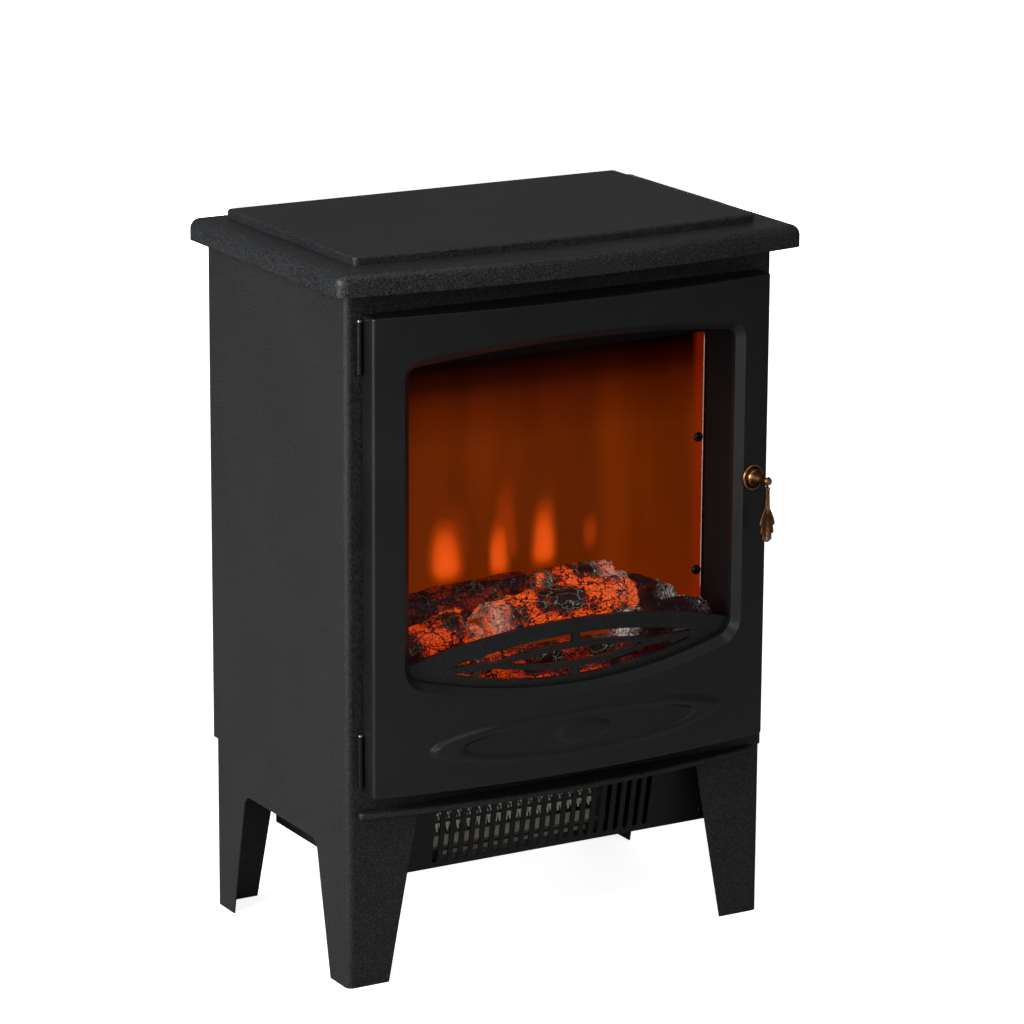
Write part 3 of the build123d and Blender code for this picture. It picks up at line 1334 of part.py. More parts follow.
# ---- Controls behind the lower door: three rockers and a thermostat ----------------------
PANEL_THICK = 1.6
CONTROL_Z = (CONTROL_LOW + CONTROL_HIGH) / 2
CONTROL_FACE = FRONT_Y + SHEET
ROCKER_SPOTS = {"lamp": -64.0, "low_heat": -30.0, "high_heat": 4.0}
KNOB_X = 56.0
CUTOUT_WIDTH = 13.0
CUTOUT_HEIGHT = 19.2
BEZEL_WIDTH = 15.0
BEZEL_HEIGHT = 21.0
BEZEL = 1.8
ROCKER_WIDTH = 10.2
ROCKER_HEIGHT = 15.6
KNOB_SHAFT = 3.0

with BuildPart() as control_panel:
    with BuildSketch(facing(CONTROL_FACE)):
        with Locations((0, CONTROL_Z)):
            Rectangle(2 * CONTROL_HALF + 16, CONTROL_HIGH - CONTROL_LOW + 10)
        with Locations(*[(x, CONTROL_Z) for x in ROCKER_SPOTS.values()]):
            Rectangle(CUTOUT_WIDTH, CUTOUT_HEIGHT, mode=Mode.SUBTRACT)
        with Locations((KNOB_X, CONTROL_Z)):
            Circle(5, mode=Mode.SUBTRACT)
    extrude(amount=-PANEL_THICK)
save(control_panel.part, "control_panel")

PIVOT_Y = CONTROL_FACE - 0.4
PIN_Y = PIVOT_Y + 2.0
TRUNNION = 1.0
with BuildPart() as rocker_housings:
    rocker_places = [(x, CONTROL_Z) for x in ROCKER_SPOTS.values()]
    with BuildSketch(facing(CONTROL_FACE)):
        with Locations(*rocker_places):
            RectangleRounded(BEZEL_WIDTH, BEZEL_HEIGHT, 1.2)
    extrude(amount=BEZEL)
    with BuildSketch(facing(CONTROL_FACE)):
        with Locations(*rocker_places):
            Rectangle(CUTOUT_WIDTH, CUTOUT_HEIGHT)
    extrude(amount=-15)
    with BuildSketch(facing(CONTROL_FACE - BEZEL)):
        with Locations(*rocker_places):
            Rectangle(ROCKER_WIDTH + 0.6, ROCKER_HEIGHT + 1.0)
    extrude(amount=-BEZEL - 6.5, mode=Mode.SUBTRACT)
    with BuildSketch(facing(CONTROL_FACE + 15)):
        with Locations(*rocker_places):
            with GridLocations(0, 7, 1, 3):
                Rectangle(4.8, 0.8)
    extrude(amount=-8)
    for rocker_x in ROCKER_SPOTS.values():
        with BuildSketch(from_side(rocker_x - CUTOUT_WIDTH / 2)):
            with Locations((PIN_Y, CONTROL_Z)):
                Circle(TRUNNION)
        extrude(amount=CUTOUT_WIDTH, mode=Mode.SUBTRACT)
save(rocker_housings.part, "rocker_housings")

ROCKER_HALF = ROCKER_HEIGHT / 2 - 0.9
for rocker_name, rocker_x in ROCKER_SPOTS.items():
    with BuildPart() as rocker:
        with BuildSketch(from_side(rocker_x - ROCKER_WIDTH / 2)):
            with BuildLine():
                foot = Line((PIVOT_Y + 3.2, CONTROL_Z + 1.8), (PIVOT_Y + 3.2, CONTROL_Z - 1.8))
                lower = Polyline(
                    foot @ 1,
                    (PIVOT_Y - 0.6, CONTROL_Z - ROCKER_HALF),
                    (PIVOT_Y - 2.6, CONTROL_Z - ROCKER_HALF),
                )
                dish = ThreePointArc(
                    lower @ 1,
                    (PIVOT_Y - 1.6, CONTROL_Z),
                    (PIVOT_Y - 2.6, CONTROL_Z + ROCKER_HALF),
                )
                Polyline(dish @ 1, (PIVOT_Y - 0.6, CONTROL_Z + ROCKER_HALF), foot @ 0)
            make_face()
        extrude(amount=ROCKER_WIDTH)
        with BuildSketch(from_side(rocker_x - CUTOUT_WIDTH / 2 + 0.2)):
            with Locations((PIN_Y, CONTROL_Z)):
                Circle(TRUNNION - RUNNING)
        extrude(amount=CUTOUT_WIDTH - 0.4)
    save(rocker.part, f"rocker_{rocker_name}")

with BuildPart() as thermostat_body:
    with BuildSketch(facing(CONTROL_FACE + PANEL_THICK)):
        with Locations((KNOB_X, CONTROL_Z)):
            RectangleRounded(30, 26, 2)
    extrude(amount=-16)
    with BuildSketch(facing(CONTROL_FACE + PANEL_THICK)):
        with Locations((KNOB_X, CONTROL_Z)):
            Circle(5)
    extrude(amount=PANEL_THICK)
    with BuildSketch(facing(CONTROL_FACE - 1)):
        with Locations((KNOB_X, CONTROL_Z)):
            Circle(KNOB_SHAFT + RUNNING)
    extrude(amount=-10, mode=Mode.SUBTRACT)
save(thermostat_body.part, "thermostat_body")

KNOB_BACK = CONTROL_FACE - SHEET - 0.4
with BuildPart() as thermostat_knob:
    with BuildSketch(facing(KNOB_BACK)):
        with Locations((KNOB_X, CONTROL_Z)):
            Circle(12)
    extrude(amount=2)
    with BuildSketch(facing(KNOB_BACK - 2)):
        with Locations((KNOB_X, CONTROL_Z)):
            Circle(10)
    extrude(amount=6, taper=4)
    fillet(thermostat_knob.faces().sort_by(Axis.Y)[0].edges(), 0.8)
    with BuildSketch(facing(KNOB_BACK)):
        with Locations((KNOB_X, CONTROL_Z)):
            Circle(KNOB_SHAFT)
    extrude(amount=-8)
    with BuildSketch(facing(KNOB_BACK - 8)):
        with Locations((KNOB_X, CONTROL_Z + 5.5)):
            Rectangle(1.2, 6)
    extrude(amount=-0.6, mode=Mode.SUBTRACT)
save(thermostat_knob.part, "thermostat_knob")

# ---- Mains terminal block on the cabinet floor ---------------------------------------------
TERMINAL_Y = BACK_Y - 55.0
TERMINAL_X = GLAND_X + 10.0
with BuildPart() as terminal_block:
    with BuildSketch(Plane.XY.offset(SEAM_Z + SHEET)):
        with Locations((TERMINAL_X, TERMINAL_Y)):
            Rectangle(46, 20)
    extrude(amount=8)
    with BuildSketch(Plane.XY.offset(SEAM_Z + SHEET + 8)):
        with Locations((TERMINAL_X, TERMINAL_Y)):
            Rectangle(42, 10)
    extrude(amount=6)
    with BuildSketch(Plane.XY.offset(SEAM_Z + SHEET + 14)):
        with Locations((TERMINAL_X, TERMINAL_Y)):
            with GridLocations(13, 0, 3, 1):
                Circle(2.4)
    extrude(amount=-5, mode=Mode.SUBTRACT)
save(terminal_block.part, "terminal_block")
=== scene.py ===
import json
import math

import bmesh
import bpy
from mathutils import Matrix, Vector, noise
from mathutils.bvhtree import BVHTree


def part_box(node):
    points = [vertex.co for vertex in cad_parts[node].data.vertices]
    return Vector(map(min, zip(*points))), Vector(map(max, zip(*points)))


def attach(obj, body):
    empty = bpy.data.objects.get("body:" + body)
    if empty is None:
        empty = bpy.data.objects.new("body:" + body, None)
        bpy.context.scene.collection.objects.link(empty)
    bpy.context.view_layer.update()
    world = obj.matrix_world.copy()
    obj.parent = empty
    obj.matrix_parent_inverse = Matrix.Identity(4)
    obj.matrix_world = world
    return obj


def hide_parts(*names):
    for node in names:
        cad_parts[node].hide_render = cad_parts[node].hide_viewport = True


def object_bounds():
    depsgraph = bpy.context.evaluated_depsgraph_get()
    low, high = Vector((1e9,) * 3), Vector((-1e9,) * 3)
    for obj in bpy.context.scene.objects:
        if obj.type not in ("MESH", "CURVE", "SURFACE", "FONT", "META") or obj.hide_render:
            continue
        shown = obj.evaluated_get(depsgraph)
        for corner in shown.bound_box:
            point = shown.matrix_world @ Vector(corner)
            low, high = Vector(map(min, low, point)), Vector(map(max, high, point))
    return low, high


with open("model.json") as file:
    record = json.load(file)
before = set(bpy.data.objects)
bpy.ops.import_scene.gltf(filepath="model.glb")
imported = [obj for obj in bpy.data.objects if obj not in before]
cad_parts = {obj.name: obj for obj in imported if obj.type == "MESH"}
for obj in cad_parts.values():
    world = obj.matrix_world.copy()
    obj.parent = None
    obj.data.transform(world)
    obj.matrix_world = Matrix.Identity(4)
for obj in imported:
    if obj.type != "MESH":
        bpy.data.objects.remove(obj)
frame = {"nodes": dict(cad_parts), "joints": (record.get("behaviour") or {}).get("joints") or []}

CAD_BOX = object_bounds()
JOINTS = {joint["name"]: joint for joint in frame["joints"]}
MM = 0.001

bl_info = {
    "name": "Stove Fireplace",
    "version": (1, 0, 0),
    "blender": (4, 5, 0),
    "location": "3D View > Sidebar > Stove",
    "description": "Finishes and detailed pieces of a free-standing electric stove fireplace",
    "category": "Object",
}


# ---- Small helpers ---------------------------------------------------------------------
def linear(hex_colour):
    """A sRGB hex colour as a linear colour with alpha."""
    parts = [int(hex_colour[i : i + 2], 16) / 255 for i in (1, 3, 5)]
    return tuple(c / 12.92 if c <= 0.04045 else ((c + 0.055) / 1.055) ** 2.4 for c in parts) + (1,)


def node(tree, kind, settings=None, inputs=None, stops=None):
    """Add one node: its own settings, then values or sockets for its inputs, then ramp stops."""
    made = tree.nodes.new(kind)
    for name, value in (settings or {}).items():
        setattr(made, name, value)
    for name, value in (inputs or {}).items():
        if isinstance(value, bpy.types.NodeSocket):
            tree.links.new(value, made.inputs[name])
        else:
            made.inputs[name].default_value = value
    if stops:
        elements = made.color_ramp.elements
        while len(elements) < len(stops):
            elements.new(1.0)
        for element, (place, colour) in zip(elements, stops):
            element.position = place
            element.color = colour
    return made


def new_material(name):
    """An empty material, its tree and its object coordinates."""
    material = bpy.data.materials.new(name)
    material.use_nodes = True
    tree = material.node_tree
    tree.nodes.clear()
    place = node(tree, "ShaderNodeTexCoord").outputs["Object"]
    return material, tree, place


def surface(material, inputs):
    """The material, ended in a Principled surface that has the given inputs."""
    tree = material.node_tree
    shader = node(tree, "ShaderNodeBsdfPrincipled", None, inputs)
    node(tree, "ShaderNodeOutputMaterial", None, {"Surface": shader.outputs[0]})
    return material


def grain(tree, place, size, detail=2.0, stretch=(1, 1, 1)):
    """Noise whose features are about size metres across."""
    squeezed = node(tree, "ShaderNodeMapping", None, {"Vector": place, "Scale": stretch})
    return node(tree, "ShaderNodeTexNoise", None, {
        "Vector": squeezed.outputs[0],
        "Scale": 1 / size,
        "Detail": detail,
    }).outputs["Fac"]


# Steps that finishes are mixed with: node, settings, the inputs that take the values, output.
MIXING = {
    "blend": ("ShaderNodeMix", {"data_type": "RGBA"}, (0, 6, 7), 2),
    "range": ("ShaderNodeMapRange", {"interpolation_type": "SMOOTHSTEP"}, (0, 1, 2, 3, 4), 0),
    "raise": ("ShaderNodeBump", {}, ("Height", "Distance", "Strength"), 0),
    "scale": ("ShaderNodeVectorMath", {"operation": "SCALE"}, (0, "Scale"), 0),
}


def mixed(tree, step, *values):
    """One step of MIXING, or one arithmetic step that goes by Blender's name for it.

    blend: share, colour at 0, colour at 1. range: value, its low and high, what they become.
    raise: height map, depth, strength. scale: colour, factor.
    """
    plain = ("ShaderNodeMath", {"operation": step}, (0, 1), 0)
    kind, settings, places, output = MIXING.get(step, plain)
    return node(tree, kind, settings, dict(zip(places, values))).outputs[output]


# ---- Materials -----------------------------------------------------------------------
def powder_coat(name, dark, light, rough=0.52):
    """Fine-textured polyester powder coat on sheet steel: a dry, sparkling black.

    The real texture is about 0.3 mm across; it is drawn at 0.9 mm so that it shows.
    """
    material, tree, place = new_material(name)
    speck = grain(tree, place, 0.9 * MM, 3.0)
    tone = grain(tree, place, 70 * MM, 2.0)
    light_specks = mixed(tree, "range", speck, 0.42, 0.72, 0.0, 1.0)
    colour = mixed(tree, "blend", light_specks, linear(dark), linear(light))
    worn = mixed(
        tree, "blend", mixed(tree, "range", tone, 0.3, 0.7, 0.0, 0.10), colour, linear(light),
    )
    return surface(material, {
        "Base Color": worn,
        "Roughness": mixed(tree, "range", speck, 0.3, 0.7, rough - 0.08, rough + 0.1),
        "Specular IOR Level": 0.36,
        "Normal": mixed(tree, "raise", speck, 0.25 * MM, 0.55),
    })


def satin_enamel():
    """Sprayed satin enamel on pressed steel: smooth, with a faint orange peel."""
    material, tree, place = new_material("satin_black_enamel")
    peel = grain(tree, place, 2.2 * MM, 2.0)
    haze = grain(tree, place, 55 * MM, 3.0)
    fine = grain(tree, place, 0.7 * MM, 2.0)
    colour = mixed(tree, "blend", haze, linear("#0d0e10"), linear("#121316"))
    flecks = mixed(tree, "range", fine, 0.5, 0.75, 0, 0.5)
    return surface(material, {
        "Base Color": mixed(tree, "blend", flecks, colour, linear("#1c1d20")),
        "Roughness": mixed(tree, "range", haze, 0.3, 0.7, 0.31, 0.40),
        "Specular IOR Level": 0.5,
        "Normal": mixed(tree, "raise", peel, 0.05 * MM, 0.35),
    })


def stove_paint():
    """Matt heat-resistant paint: nearly no gloss, slightly dusty."""
    material, tree, place = new_material("matt_stove_paint")
    dust = grain(tree, place, 24 * MM, 4.0)
    speck = grain(tree, place, 1.1 * MM, 2.0)
    return surface(material, {
        "Base Color": mixed(tree, "blend", dust, linear("#060607"), linear("#0d0d0e")),
        "Roughness": mixed(tree, "range", speck, 0.3, 0.7, 0.62, 0.8),
        "Specular IOR Level": 0.3,
        "Normal": mixed(tree, "raise", speck, 0.12 * MM, 0.5),
    })


def plated_steel(name, dark, light, size, rough):
    """Zinc-plated or galvanised steel: crystal patches that differ in shade."""
    material, tree, place = new_material(name)
    flakes = node(tree, "ShaderNodeTexVoronoi", None, {"Vector": place, "Scale": 1 / size})
    shade = node(tree, "ShaderNodeSeparateColor", None, {0: flakes.outputs["Color"]}).outputs[0]
    scratch = grain(tree, place, 0.8 * MM, 2.0, (0.12, 1, 1))
    return surface(material, {
        "Base Color": mixed(tree, "blend", shade, linear(dark), linear(light)),
        "Metallic": 1.0,
        "Roughness": mixed(tree, "range", scratch, 0.3, 0.7, rough - 0.06, rough + 0.08),
        "Normal": mixed(tree, "raise", scratch, 0.02 * MM, 0.3),
    })


def blackened_steel():
    """Black-oxide screws: dark, oily and a little glossy."""
    material, tree, place = new_material("black_oxide_steel")
    patch = grain(tree, place, 1.5 * MM, 3.0)
    return surface(material, {
        "Base Color": mixed(tree, "blend", patch, linear("#0e0e10"), linear("#202126")),
        "Metallic": 0.6,
        "Roughness": mixed(tree, "range", patch, 0.3, 0.7, 0.28, 0.42),
    })


def antique_brass():
    """Cast brass, chemically darkened: coppery where worn by rubbing; the same share also paints
    highlight where it is high and shade where it is low.
    """
    material, tree, place = new_material("antique_brass")
    rub_and_highlight_share = node(tree, "ShaderNodeAttribute", {"attribute_name": "rub_and_highlight"}).outputs["Fac"]
    mottle = grain(tree, place, 0.9 * MM, 3.0)
    share = mixed(tree, "ADD", rub_and_highlight_share, mixed(tree, "range", mottle, 0.3, 0.7, -0.14, 0.14))
    # Light end of the ramp: partly wear, partly painted highlight. Dark end: partly painted shade.
    ramp = node(tree, "ShaderNodeValToRGB", None, {0: share}, [
        (0.0, linear("#1a110a")), (0.4, linear("#5a3b22")), (0.75, linear("#a4714a")),
        (1.0, linear("#e8c09a")),
    ])
    return surface(material, {
        "Base Color": ramp.outputs[0],
        "Metallic": 0.95,
        "Roughness": mixed(tree, "range", share, 0.1, 0.9, 0.46, 0.22),
        "Normal": mixed(tree, "raise", mottle, 0.04 * MM, 0.25),
    })


def plastic(name, dark, light, rough, size=1.2 * MM):
    """Moulded plastic with a fine spark-eroded grain."""
    material, tree, place = new_material(name)
    texture = grain(tree, place, size, 2.0)
    cloud = grain(tree, place, 12 * MM, 2.0)
    return surface(material, {
        "Base Color": mixed(tree, "blend", cloud, linear(dark), linear(light)),
        "Roughness": mixed(tree, "range", texture, 0.3, 0.7, rough - 0.06, rough + 0.06),
        "Normal": mixed(tree, "raise", texture, 0.03 * MM, 0.4),
    })


def mica_sheet(name, dark, light):
    """Pressed mica board: buff, layered and pearly, with a faint painted glow."""
    material, tree, place = new_material(name)
    layers = grain(tree, place, 3.0 * MM, 5.0, (1, 1, 2.5))
    flakes = node(tree, "ShaderNodeTexVoronoi", None, {"Vector": place, "Scale": 1 / (2.4 * MM)})
    shade = node(tree, "ShaderNodeSeparateColor", None, {0: flakes.outputs["Color"]}).outputs[0]
    colour = mixed(tree, "blend", layers, linear(dark), linear(light))
    return surface(material, {
        "Base Color": mixed(
            tree, "blend", mixed(tree, "MULTIPLY", shade, 0.3), colour, linear(light),
        ),
        "Roughness": mixed(tree, "range", layers, 0.3, 0.7, 0.28, 0.5),
        "Sheen Weight": 0.3,
        # Emission here is painted light, not a lamp.
        "Emission Color": colour,
        "Emission Strength": 0.1,
    })


def resistance_wire():
    """Nickel-chrome wire with a pale oxide skin; a trace of glow keeps it readable in the dark."""
    material, tree, place = new_material("resistance_wire")
    oxide = grain(tree, place, 1.5 * MM, 3.0)
    return surface(material, {
        "Base Color": mixed(tree, "blend", oxide, linear("#8d867a"), linear("#e0dacd")),
        "Metallic": 0.3,
        "Roughness": mixed(tree, "range", oxide, 0.3, 0.7, 0.25, 0.4),
        "Emission Color": mixed(tree, "blend", oxide, linear("#3a3833"), linear("#8f8a80")),
        "Emission Strength": 0.5,
    })


def circuit_board():
    """Green solder mask over copper tracks."""
    material, tree, place = new_material("solder_mask")
    tracks = node(tree, "ShaderNodeTexBrick", None, {
        "Vector": place,
        "Scale": 120.0,
        "Color1": linear("#0f4d26"),
        "Color2": linear("#125a2d"),
        "Mortar": linear("#2f8048"),
        "Mortar Size": 0.03,
    })
    dust = grain(tree, place, 4 * MM, 3.0)
    return surface(material, {
        "Base Color": tracks.outputs[0],
        "Roughness": mixed(tree, "range", dust, 0.3, 0.7, 0.2, 0.4),
    })


# Flame tongues on the screen, in millimetres: middle, foot, tip, half width, and brightness.
FLAMES = [
    (-64.0, 282, 345, 13.0, 1.0), (-60.0, 290, 372, 17.0, 0.28), (-18.5, 280, 342, 8.0, 0.86),
    (-14.0, 290, 395, 11.0, 0.36), (20.5, 284, 352, 10.0, 0.92), (24.0, 284, 372, 9.0, 0.30),
    (60.0, 290, 330, 6.5, 0.34), (-104.0, 276, 318, 9.0, 0.34),
]


def amber_acrylic():
    """Amber acrylic lit from behind: vertical flame tongues thrown on a brown-orange glow.

    Near the right cut edge the glow turns a deeper red; the pale line along the cut edges is a painted
    highlight.
    """
    fire = bpy.context.scene.stove_fire
    low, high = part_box("flame_screen")
    material, tree, place = new_material("amber_acrylic")
    axes = node(tree, "ShaderNodeSeparateXYZ", None, {0: place}).outputs
    across, height = axes["X"], axes["Z"]
    climb = node(tree, "ShaderNodeMapRange", None, {
        0: height,
        1: low.z,
        2: high.z,
        3: 0.0,
        4: 1.0,
    }).outputs[0]
    # The glow fades to black at the top: painted shade under the firebox roof.
    glow = node(tree, "ShaderNodeValToRGB", None, {0: climb}, [
        (0.0, linear("#722002")), (0.30, linear("#692301")), (0.50, linear("#652302")),
        (0.72, linear("#632201")), (0.86, linear("#4c1500")), (0.925, linear("#280500")),
        (0.985, linear("#080000")),
    ]).outputs[0]
    curtain = grain(tree, place, 46 * MM, 1.5, (1, 1, 0.22))
    veil = mixed(tree, "range", curtain, 0.3, 0.7, 0.78, 1.22)
    left_shade = mixed(tree, "range", across, low.x + 45 * MM, low.x + 72 * MM, 0.45, 1.0)
    level = mixed(tree, "MULTIPLY", veil, left_shade)
    lit = mixed(tree, "scale", glow, level)
    edge_band = mixed(tree, "range", across, high.x - 12 * MM, high.x - 5 * MM, 0.0, 0.4)
    lit = mixed(tree, "blend", edge_band, lit, linear("#8e1c03"))
    sway = mixed(tree, "SUBTRACT", grain(tree, place, 34 * MM, 1.0, (1, 1, 0.6)), 0.5)
    swayed = mixed(tree, "ADD", across, mixed(tree, "MULTIPLY", sway, 9 * MM))
    total = None
    for x, foot, top, half_width, power in FLAMES:
        offset = mixed(tree, "DIVIDE", mixed(tree, "SUBTRACT", swayed, x * MM), half_width * MM)
        steep = mixed(tree, "POWER", mixed(tree, "ABSOLUTE", offset), 2.6)
        profile = mixed(tree, "EXPONENT", mixed(tree, "MULTIPLY", steep, -1.0))
        rise = mixed(tree, "range", height, (foot - 8) * MM, (foot + 12) * MM, 0.0, 1.0)
        fade = mixed(tree, "range", height, (foot + 14) * MM, top * MM, 1.0, 0.0)
        for factor in (fade, profile, power):
            rise = mixed(tree, "MULTIPLY", rise, factor)
        total = rise if total is None else mixed(tree, "MAXIMUM", total, rise)
    flame = node(tree, "ShaderNodeValToRGB", None, {0: total}, [
        (0.0, linear("#5c2002")), (0.35, linear("#8f2f03")), (0.7, linear("#d24a0c")),
        (1.0, linear("#ea5414")),
    ]).outputs[0]
    fire_colour = mixed(tree, "blend", mixed(tree, "range", total, 0.0, 0.3, 0.0, 1.0), lit, flame)
    return surface(material, {
        "Base Color": linear("#0a0200"),
        "Emission Color": fire_colour,
        "Emission Strength": fire.screen_glow,
        "Roughness": 0.22,
        "Specular IOR Level": 0.05,
    })


def ember_resin():
    """Painted translucent resin: charred bark over a body that glows where the paint is thin."""
    fire = bpy.context.scene.stove_fire
    material, tree, place = new_material("ember_resin")
    heat, ash, rim = (
        node(tree, "ShaderNodeAttribute", {"attribute_name": mark}).outputs["Fac"]
        for mark in ("ember", "ash", "rim")
    )
    warp = node(tree, "ShaderNodeTexNoise", None, {"Vector": place, "Scale": 140.0, "Detail": 3.0})
    bent = node(tree, "ShaderNodeVectorMath", {"operation": "MULTIPLY_ADD"}, {
        0: warp.outputs["Color"],
        1: (0.011, 0.011, 0.011),
        2: place,
    }).outputs[0]
    flat = node(tree, "ShaderNodeMapping", None, {"Vector": bent, "Scale": (0.55, 1, 1)}).outputs[0]
    plates, crumbs = (
        node(
            tree,
            "ShaderNodeTexVoronoi",
            {"feature": "DISTANCE_TO_EDGE"},
            {"Vector": where, "Scale": 1 / across},
        ).outputs[0]
        for where, across in ((flat, 8.5 * MM), (bent, 2.6 * MM))
    )
    patches = grain(tree, place, 20 * MM, 3.0)
    fine = grain(tree, place, 2.0 * MM, 4.0)
    open_plate = mixed(tree, "range", plates, 0.012, 0.07, 0.0, 1.0)
    open_crumb = mixed(tree, "range", crumbs, 0.0, 0.13, 0.25, 1.0)
    broad = mixed(tree, "MULTIPLY", patches, 0.9)
    paint = mixed(tree, "ADD", broad, mixed(tree, "MULTIPLY", fine, 0.32))
    thin = mixed(tree, "range", paint, 0.52, 0.70, 1.0, 0.08)
    glow = mixed(tree, "MULTIPLY", mixed(tree, "MULTIPLY", open_plate, open_crumb), thin)
    glow = mixed(tree, "MULTIPLY", glow, heat)
    fire_colour = node(tree, "ShaderNodeValToRGB", None, {0: glow}, [
        (0.0, linear("#050102")), (0.1, linear("#2a0504")), (0.28, linear("#7c1c07")),
        (0.55, linear("#cc3f0c")), (1.0, linear("#f86c20")),
    ]).outputs[0]
    char = mixed(tree, "blend", fine, linear("#080707"), linear("#1b1718"))
    bark = mixed(
        tree, "blend", mixed(tree, "range", glow, 0.1, 0.6, 0.0, 1.0), char, linear("#50180a"),
    )
    cracks = mixed(tree, "range", plates, 0.0, 0.03, 1.0, 0.0)
    lines = mixed(tree, "MULTIPLY", cracks, mixed(tree, "range", patches, 0.5, 0.6, 0.0, 0.8))
    lines = mixed(tree, "MULTIPLY", lines, mixed(tree, "range", heat, 0.1, 0.3, 0.25, 1.0))
    broken_rim = mixed(tree, "MULTIPLY", rim, mixed(tree, "range", fine, 0.45, 0.6, 0.0, 1.0))
    mossy = mixed(tree, "MAXIMUM", lines, broken_rim)
    greened = mixed(tree, "blend", mossy, bark, linear("#a3b995"))
    dusted = mixed(tree, "MULTIPLY", ash, mixed(tree, "range", fine, 0.40, 0.58, 0.0, 1.0))
    colour = mixed(tree, "blend", dusted, greened, linear("#f0e8dc"))
    covered = mixed(tree, "MAXIMUM", mixed(tree, "MULTIPLY", mossy, 0.85), dusted)
    shown = mixed(tree, "scale", fire_colour, mixed(tree, "SUBTRACT", 1.0, covered))
    height = mixed(tree, "ADD", open_plate, mixed(tree, "MULTIPLY", fine, 0.8))
    return surface(material, {
        "Base Color": colour,
        "Emission Color": shown,
        "Emission Strength": fire.ember_glow,
        "Roughness": mixed(tree, "range", fine, 0.3, 0.7, 0.35, 0.6),
        "Specular IOR Level": 0.35,
        "Normal": mixed(tree, "raise", height, 0.9 * MM, 0.7),
    })


def wood_ash():
    """Flocked grey-white fibre that stands for ash."""
    material, tree, place = new_material("ash_flock_painted_glow")
    tuft = grain(tree, place, 1.2 * MM, 4.0)
    return surface(material, {
        "Base Color": mixed(tree, "blend", tuft, linear("#8d8478"), linear("#e8dfd2")),
        "Roughness": 0.95,
        "Specular IOR Level": 0.1,
        # Faint orange emission: painted light from the glowing logs on the ash.
        "Emission Color": linear("#6b2a12"),
        "Emission Strength": 0.12,
    })


# ---- Settings --------------------------------------------------------------------------
class StoveViewSettings(bpy.types.PropertyGroup):
    """Where the stove is seen from."""

    azimuth: bpy.props.FloatProperty(
        name="Azimuth", description="Turn of the camera about the stove",
        default=math.radians(-30.04), unit="ROTATION",
    )
    elevation: bpy.props.FloatProperty(
        name="Elevation", description="Height of the camera above the horizon",
        default=math.radians(14.84), unit="ROTATION",
    )
    roll: bpy.props.FloatProperty(
        name="Roll", description="Turn about the line of sight", default=math.radians(0.35),
        unit="ROTATION",
    )
    distance: bpy.props.FloatProperty(
        name="Distance", description="Camera to target", default=3.418, unit="LENGTH",
    )
    lens: bpy.props.FloatProperty(
        name="Lens", description="Focal length in millimetres", default=158.6,
    )
    target: bpy.props.FloatVectorProperty(
        name="Target", description="Point that the camera looks at",
        default=(0.0152, 0.008, 0.3162), subtype="XYZ", unit="LENGTH",
    )


class StoveFireSettings(bpy.types.PropertyGroup):
    """Glow of the fire effect."""

    screen_glow: bpy.props.FloatProperty(
        name="Screen glow", description="Light given by the flame screen", default=1.0, min=0.0,
    )
    ember_glow: bpy.props.FloatProperty(
        name="Ember glow", description="Light given by the log set", default=1.0, min=0.0,
    )
    seed: bpy.props.IntProperty(
        name="Seed", description="Pattern of bark and ash", default=11, min=0,
    )
    voxel: bpy.props.FloatProperty(
        name="Log voxel", description="Fineness of the moulded logs", default=1.3 * MM,
        unit="LENGTH",
    )


class StoveHardwareSettings(bpy.types.PropertyGroup):
    """Sizes of the handle, screws and heating wires."""

    rosette_radius: bpy.props.FloatProperty(
        name="Rosette radius", description="Radius of the handle's back plate", default=10 * MM,
        unit="LENGTH",
    )
    pull_length: bpy.props.FloatProperty(
        name="Pull length", description="From the hinge pin to the tip of the pull",
        default=47 * MM, unit="LENGTH",
    )
    wire_radius: bpy.props.FloatProperty(
        name="Wire radius", description="Radius of the resistance wire", default=0.35 * MM,
        unit="LENGTH",
    )
    wire_pitch: bpy.props.FloatProperty(
        name="Wire pitch", description="Width of one bend of the resistance wire", default=3 * MM,
        unit="LENGTH",
    )


# ---- Mesh helpers ----------------------------------------------------------------------
def linked(name, data):
    """A new object in the scene."""
    made = bpy.data.objects.new(name, data)
    bpy.context.scene.collection.objects.link(made)
    return made


def as_object(bm, name, material):
    """A new object from a bmesh, shaded smooth, with its material."""
    mesh = bpy.data.meshes.new(name)
    bm.to_mesh(mesh)
    bm.free()
    mesh.shade_smooth()
    mesh.materials.append(material)
    return linked(name, mesh)


def place_piece(piece, body, slot, *replaced):
    """Ride the piece on its body and hide the nodes that it stands for; slot is not used."""
    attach(piece, body)
    if replaced:
        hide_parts(*replaced)


def baked(piece, name):
    """The evaluated piece as a plain mesh object in place of the one with modifiers."""
    graph = bpy.context.evaluated_depsgraph_get()
    mesh = bpy.data.meshes.new_from_object(piece.evaluated_get(graph))
    material = piece.data.materials[0] if piece.data.materials else None
    bpy.data.objects.remove(piece)
    mesh.name = name
    if material and not mesh.materials:
        mesh.materials.append(material)
    mesh.shade_smooth()
    return linked(name, mesh)


def add_ring(bm, centre, side, up, radius, count, shape=None):
    """One ring of vertices about centre; shape gives a factor for each angle."""
    ring = []
    for step in range(count):
        angle = math.tau * step / count
        reach = radius * (shape(angle) if shape else 1.0)
        ring.append(
            bm.verts.new(centre + side * reach * math.cos(angle) + up * reach * math.sin(angle))
        )
    return ring


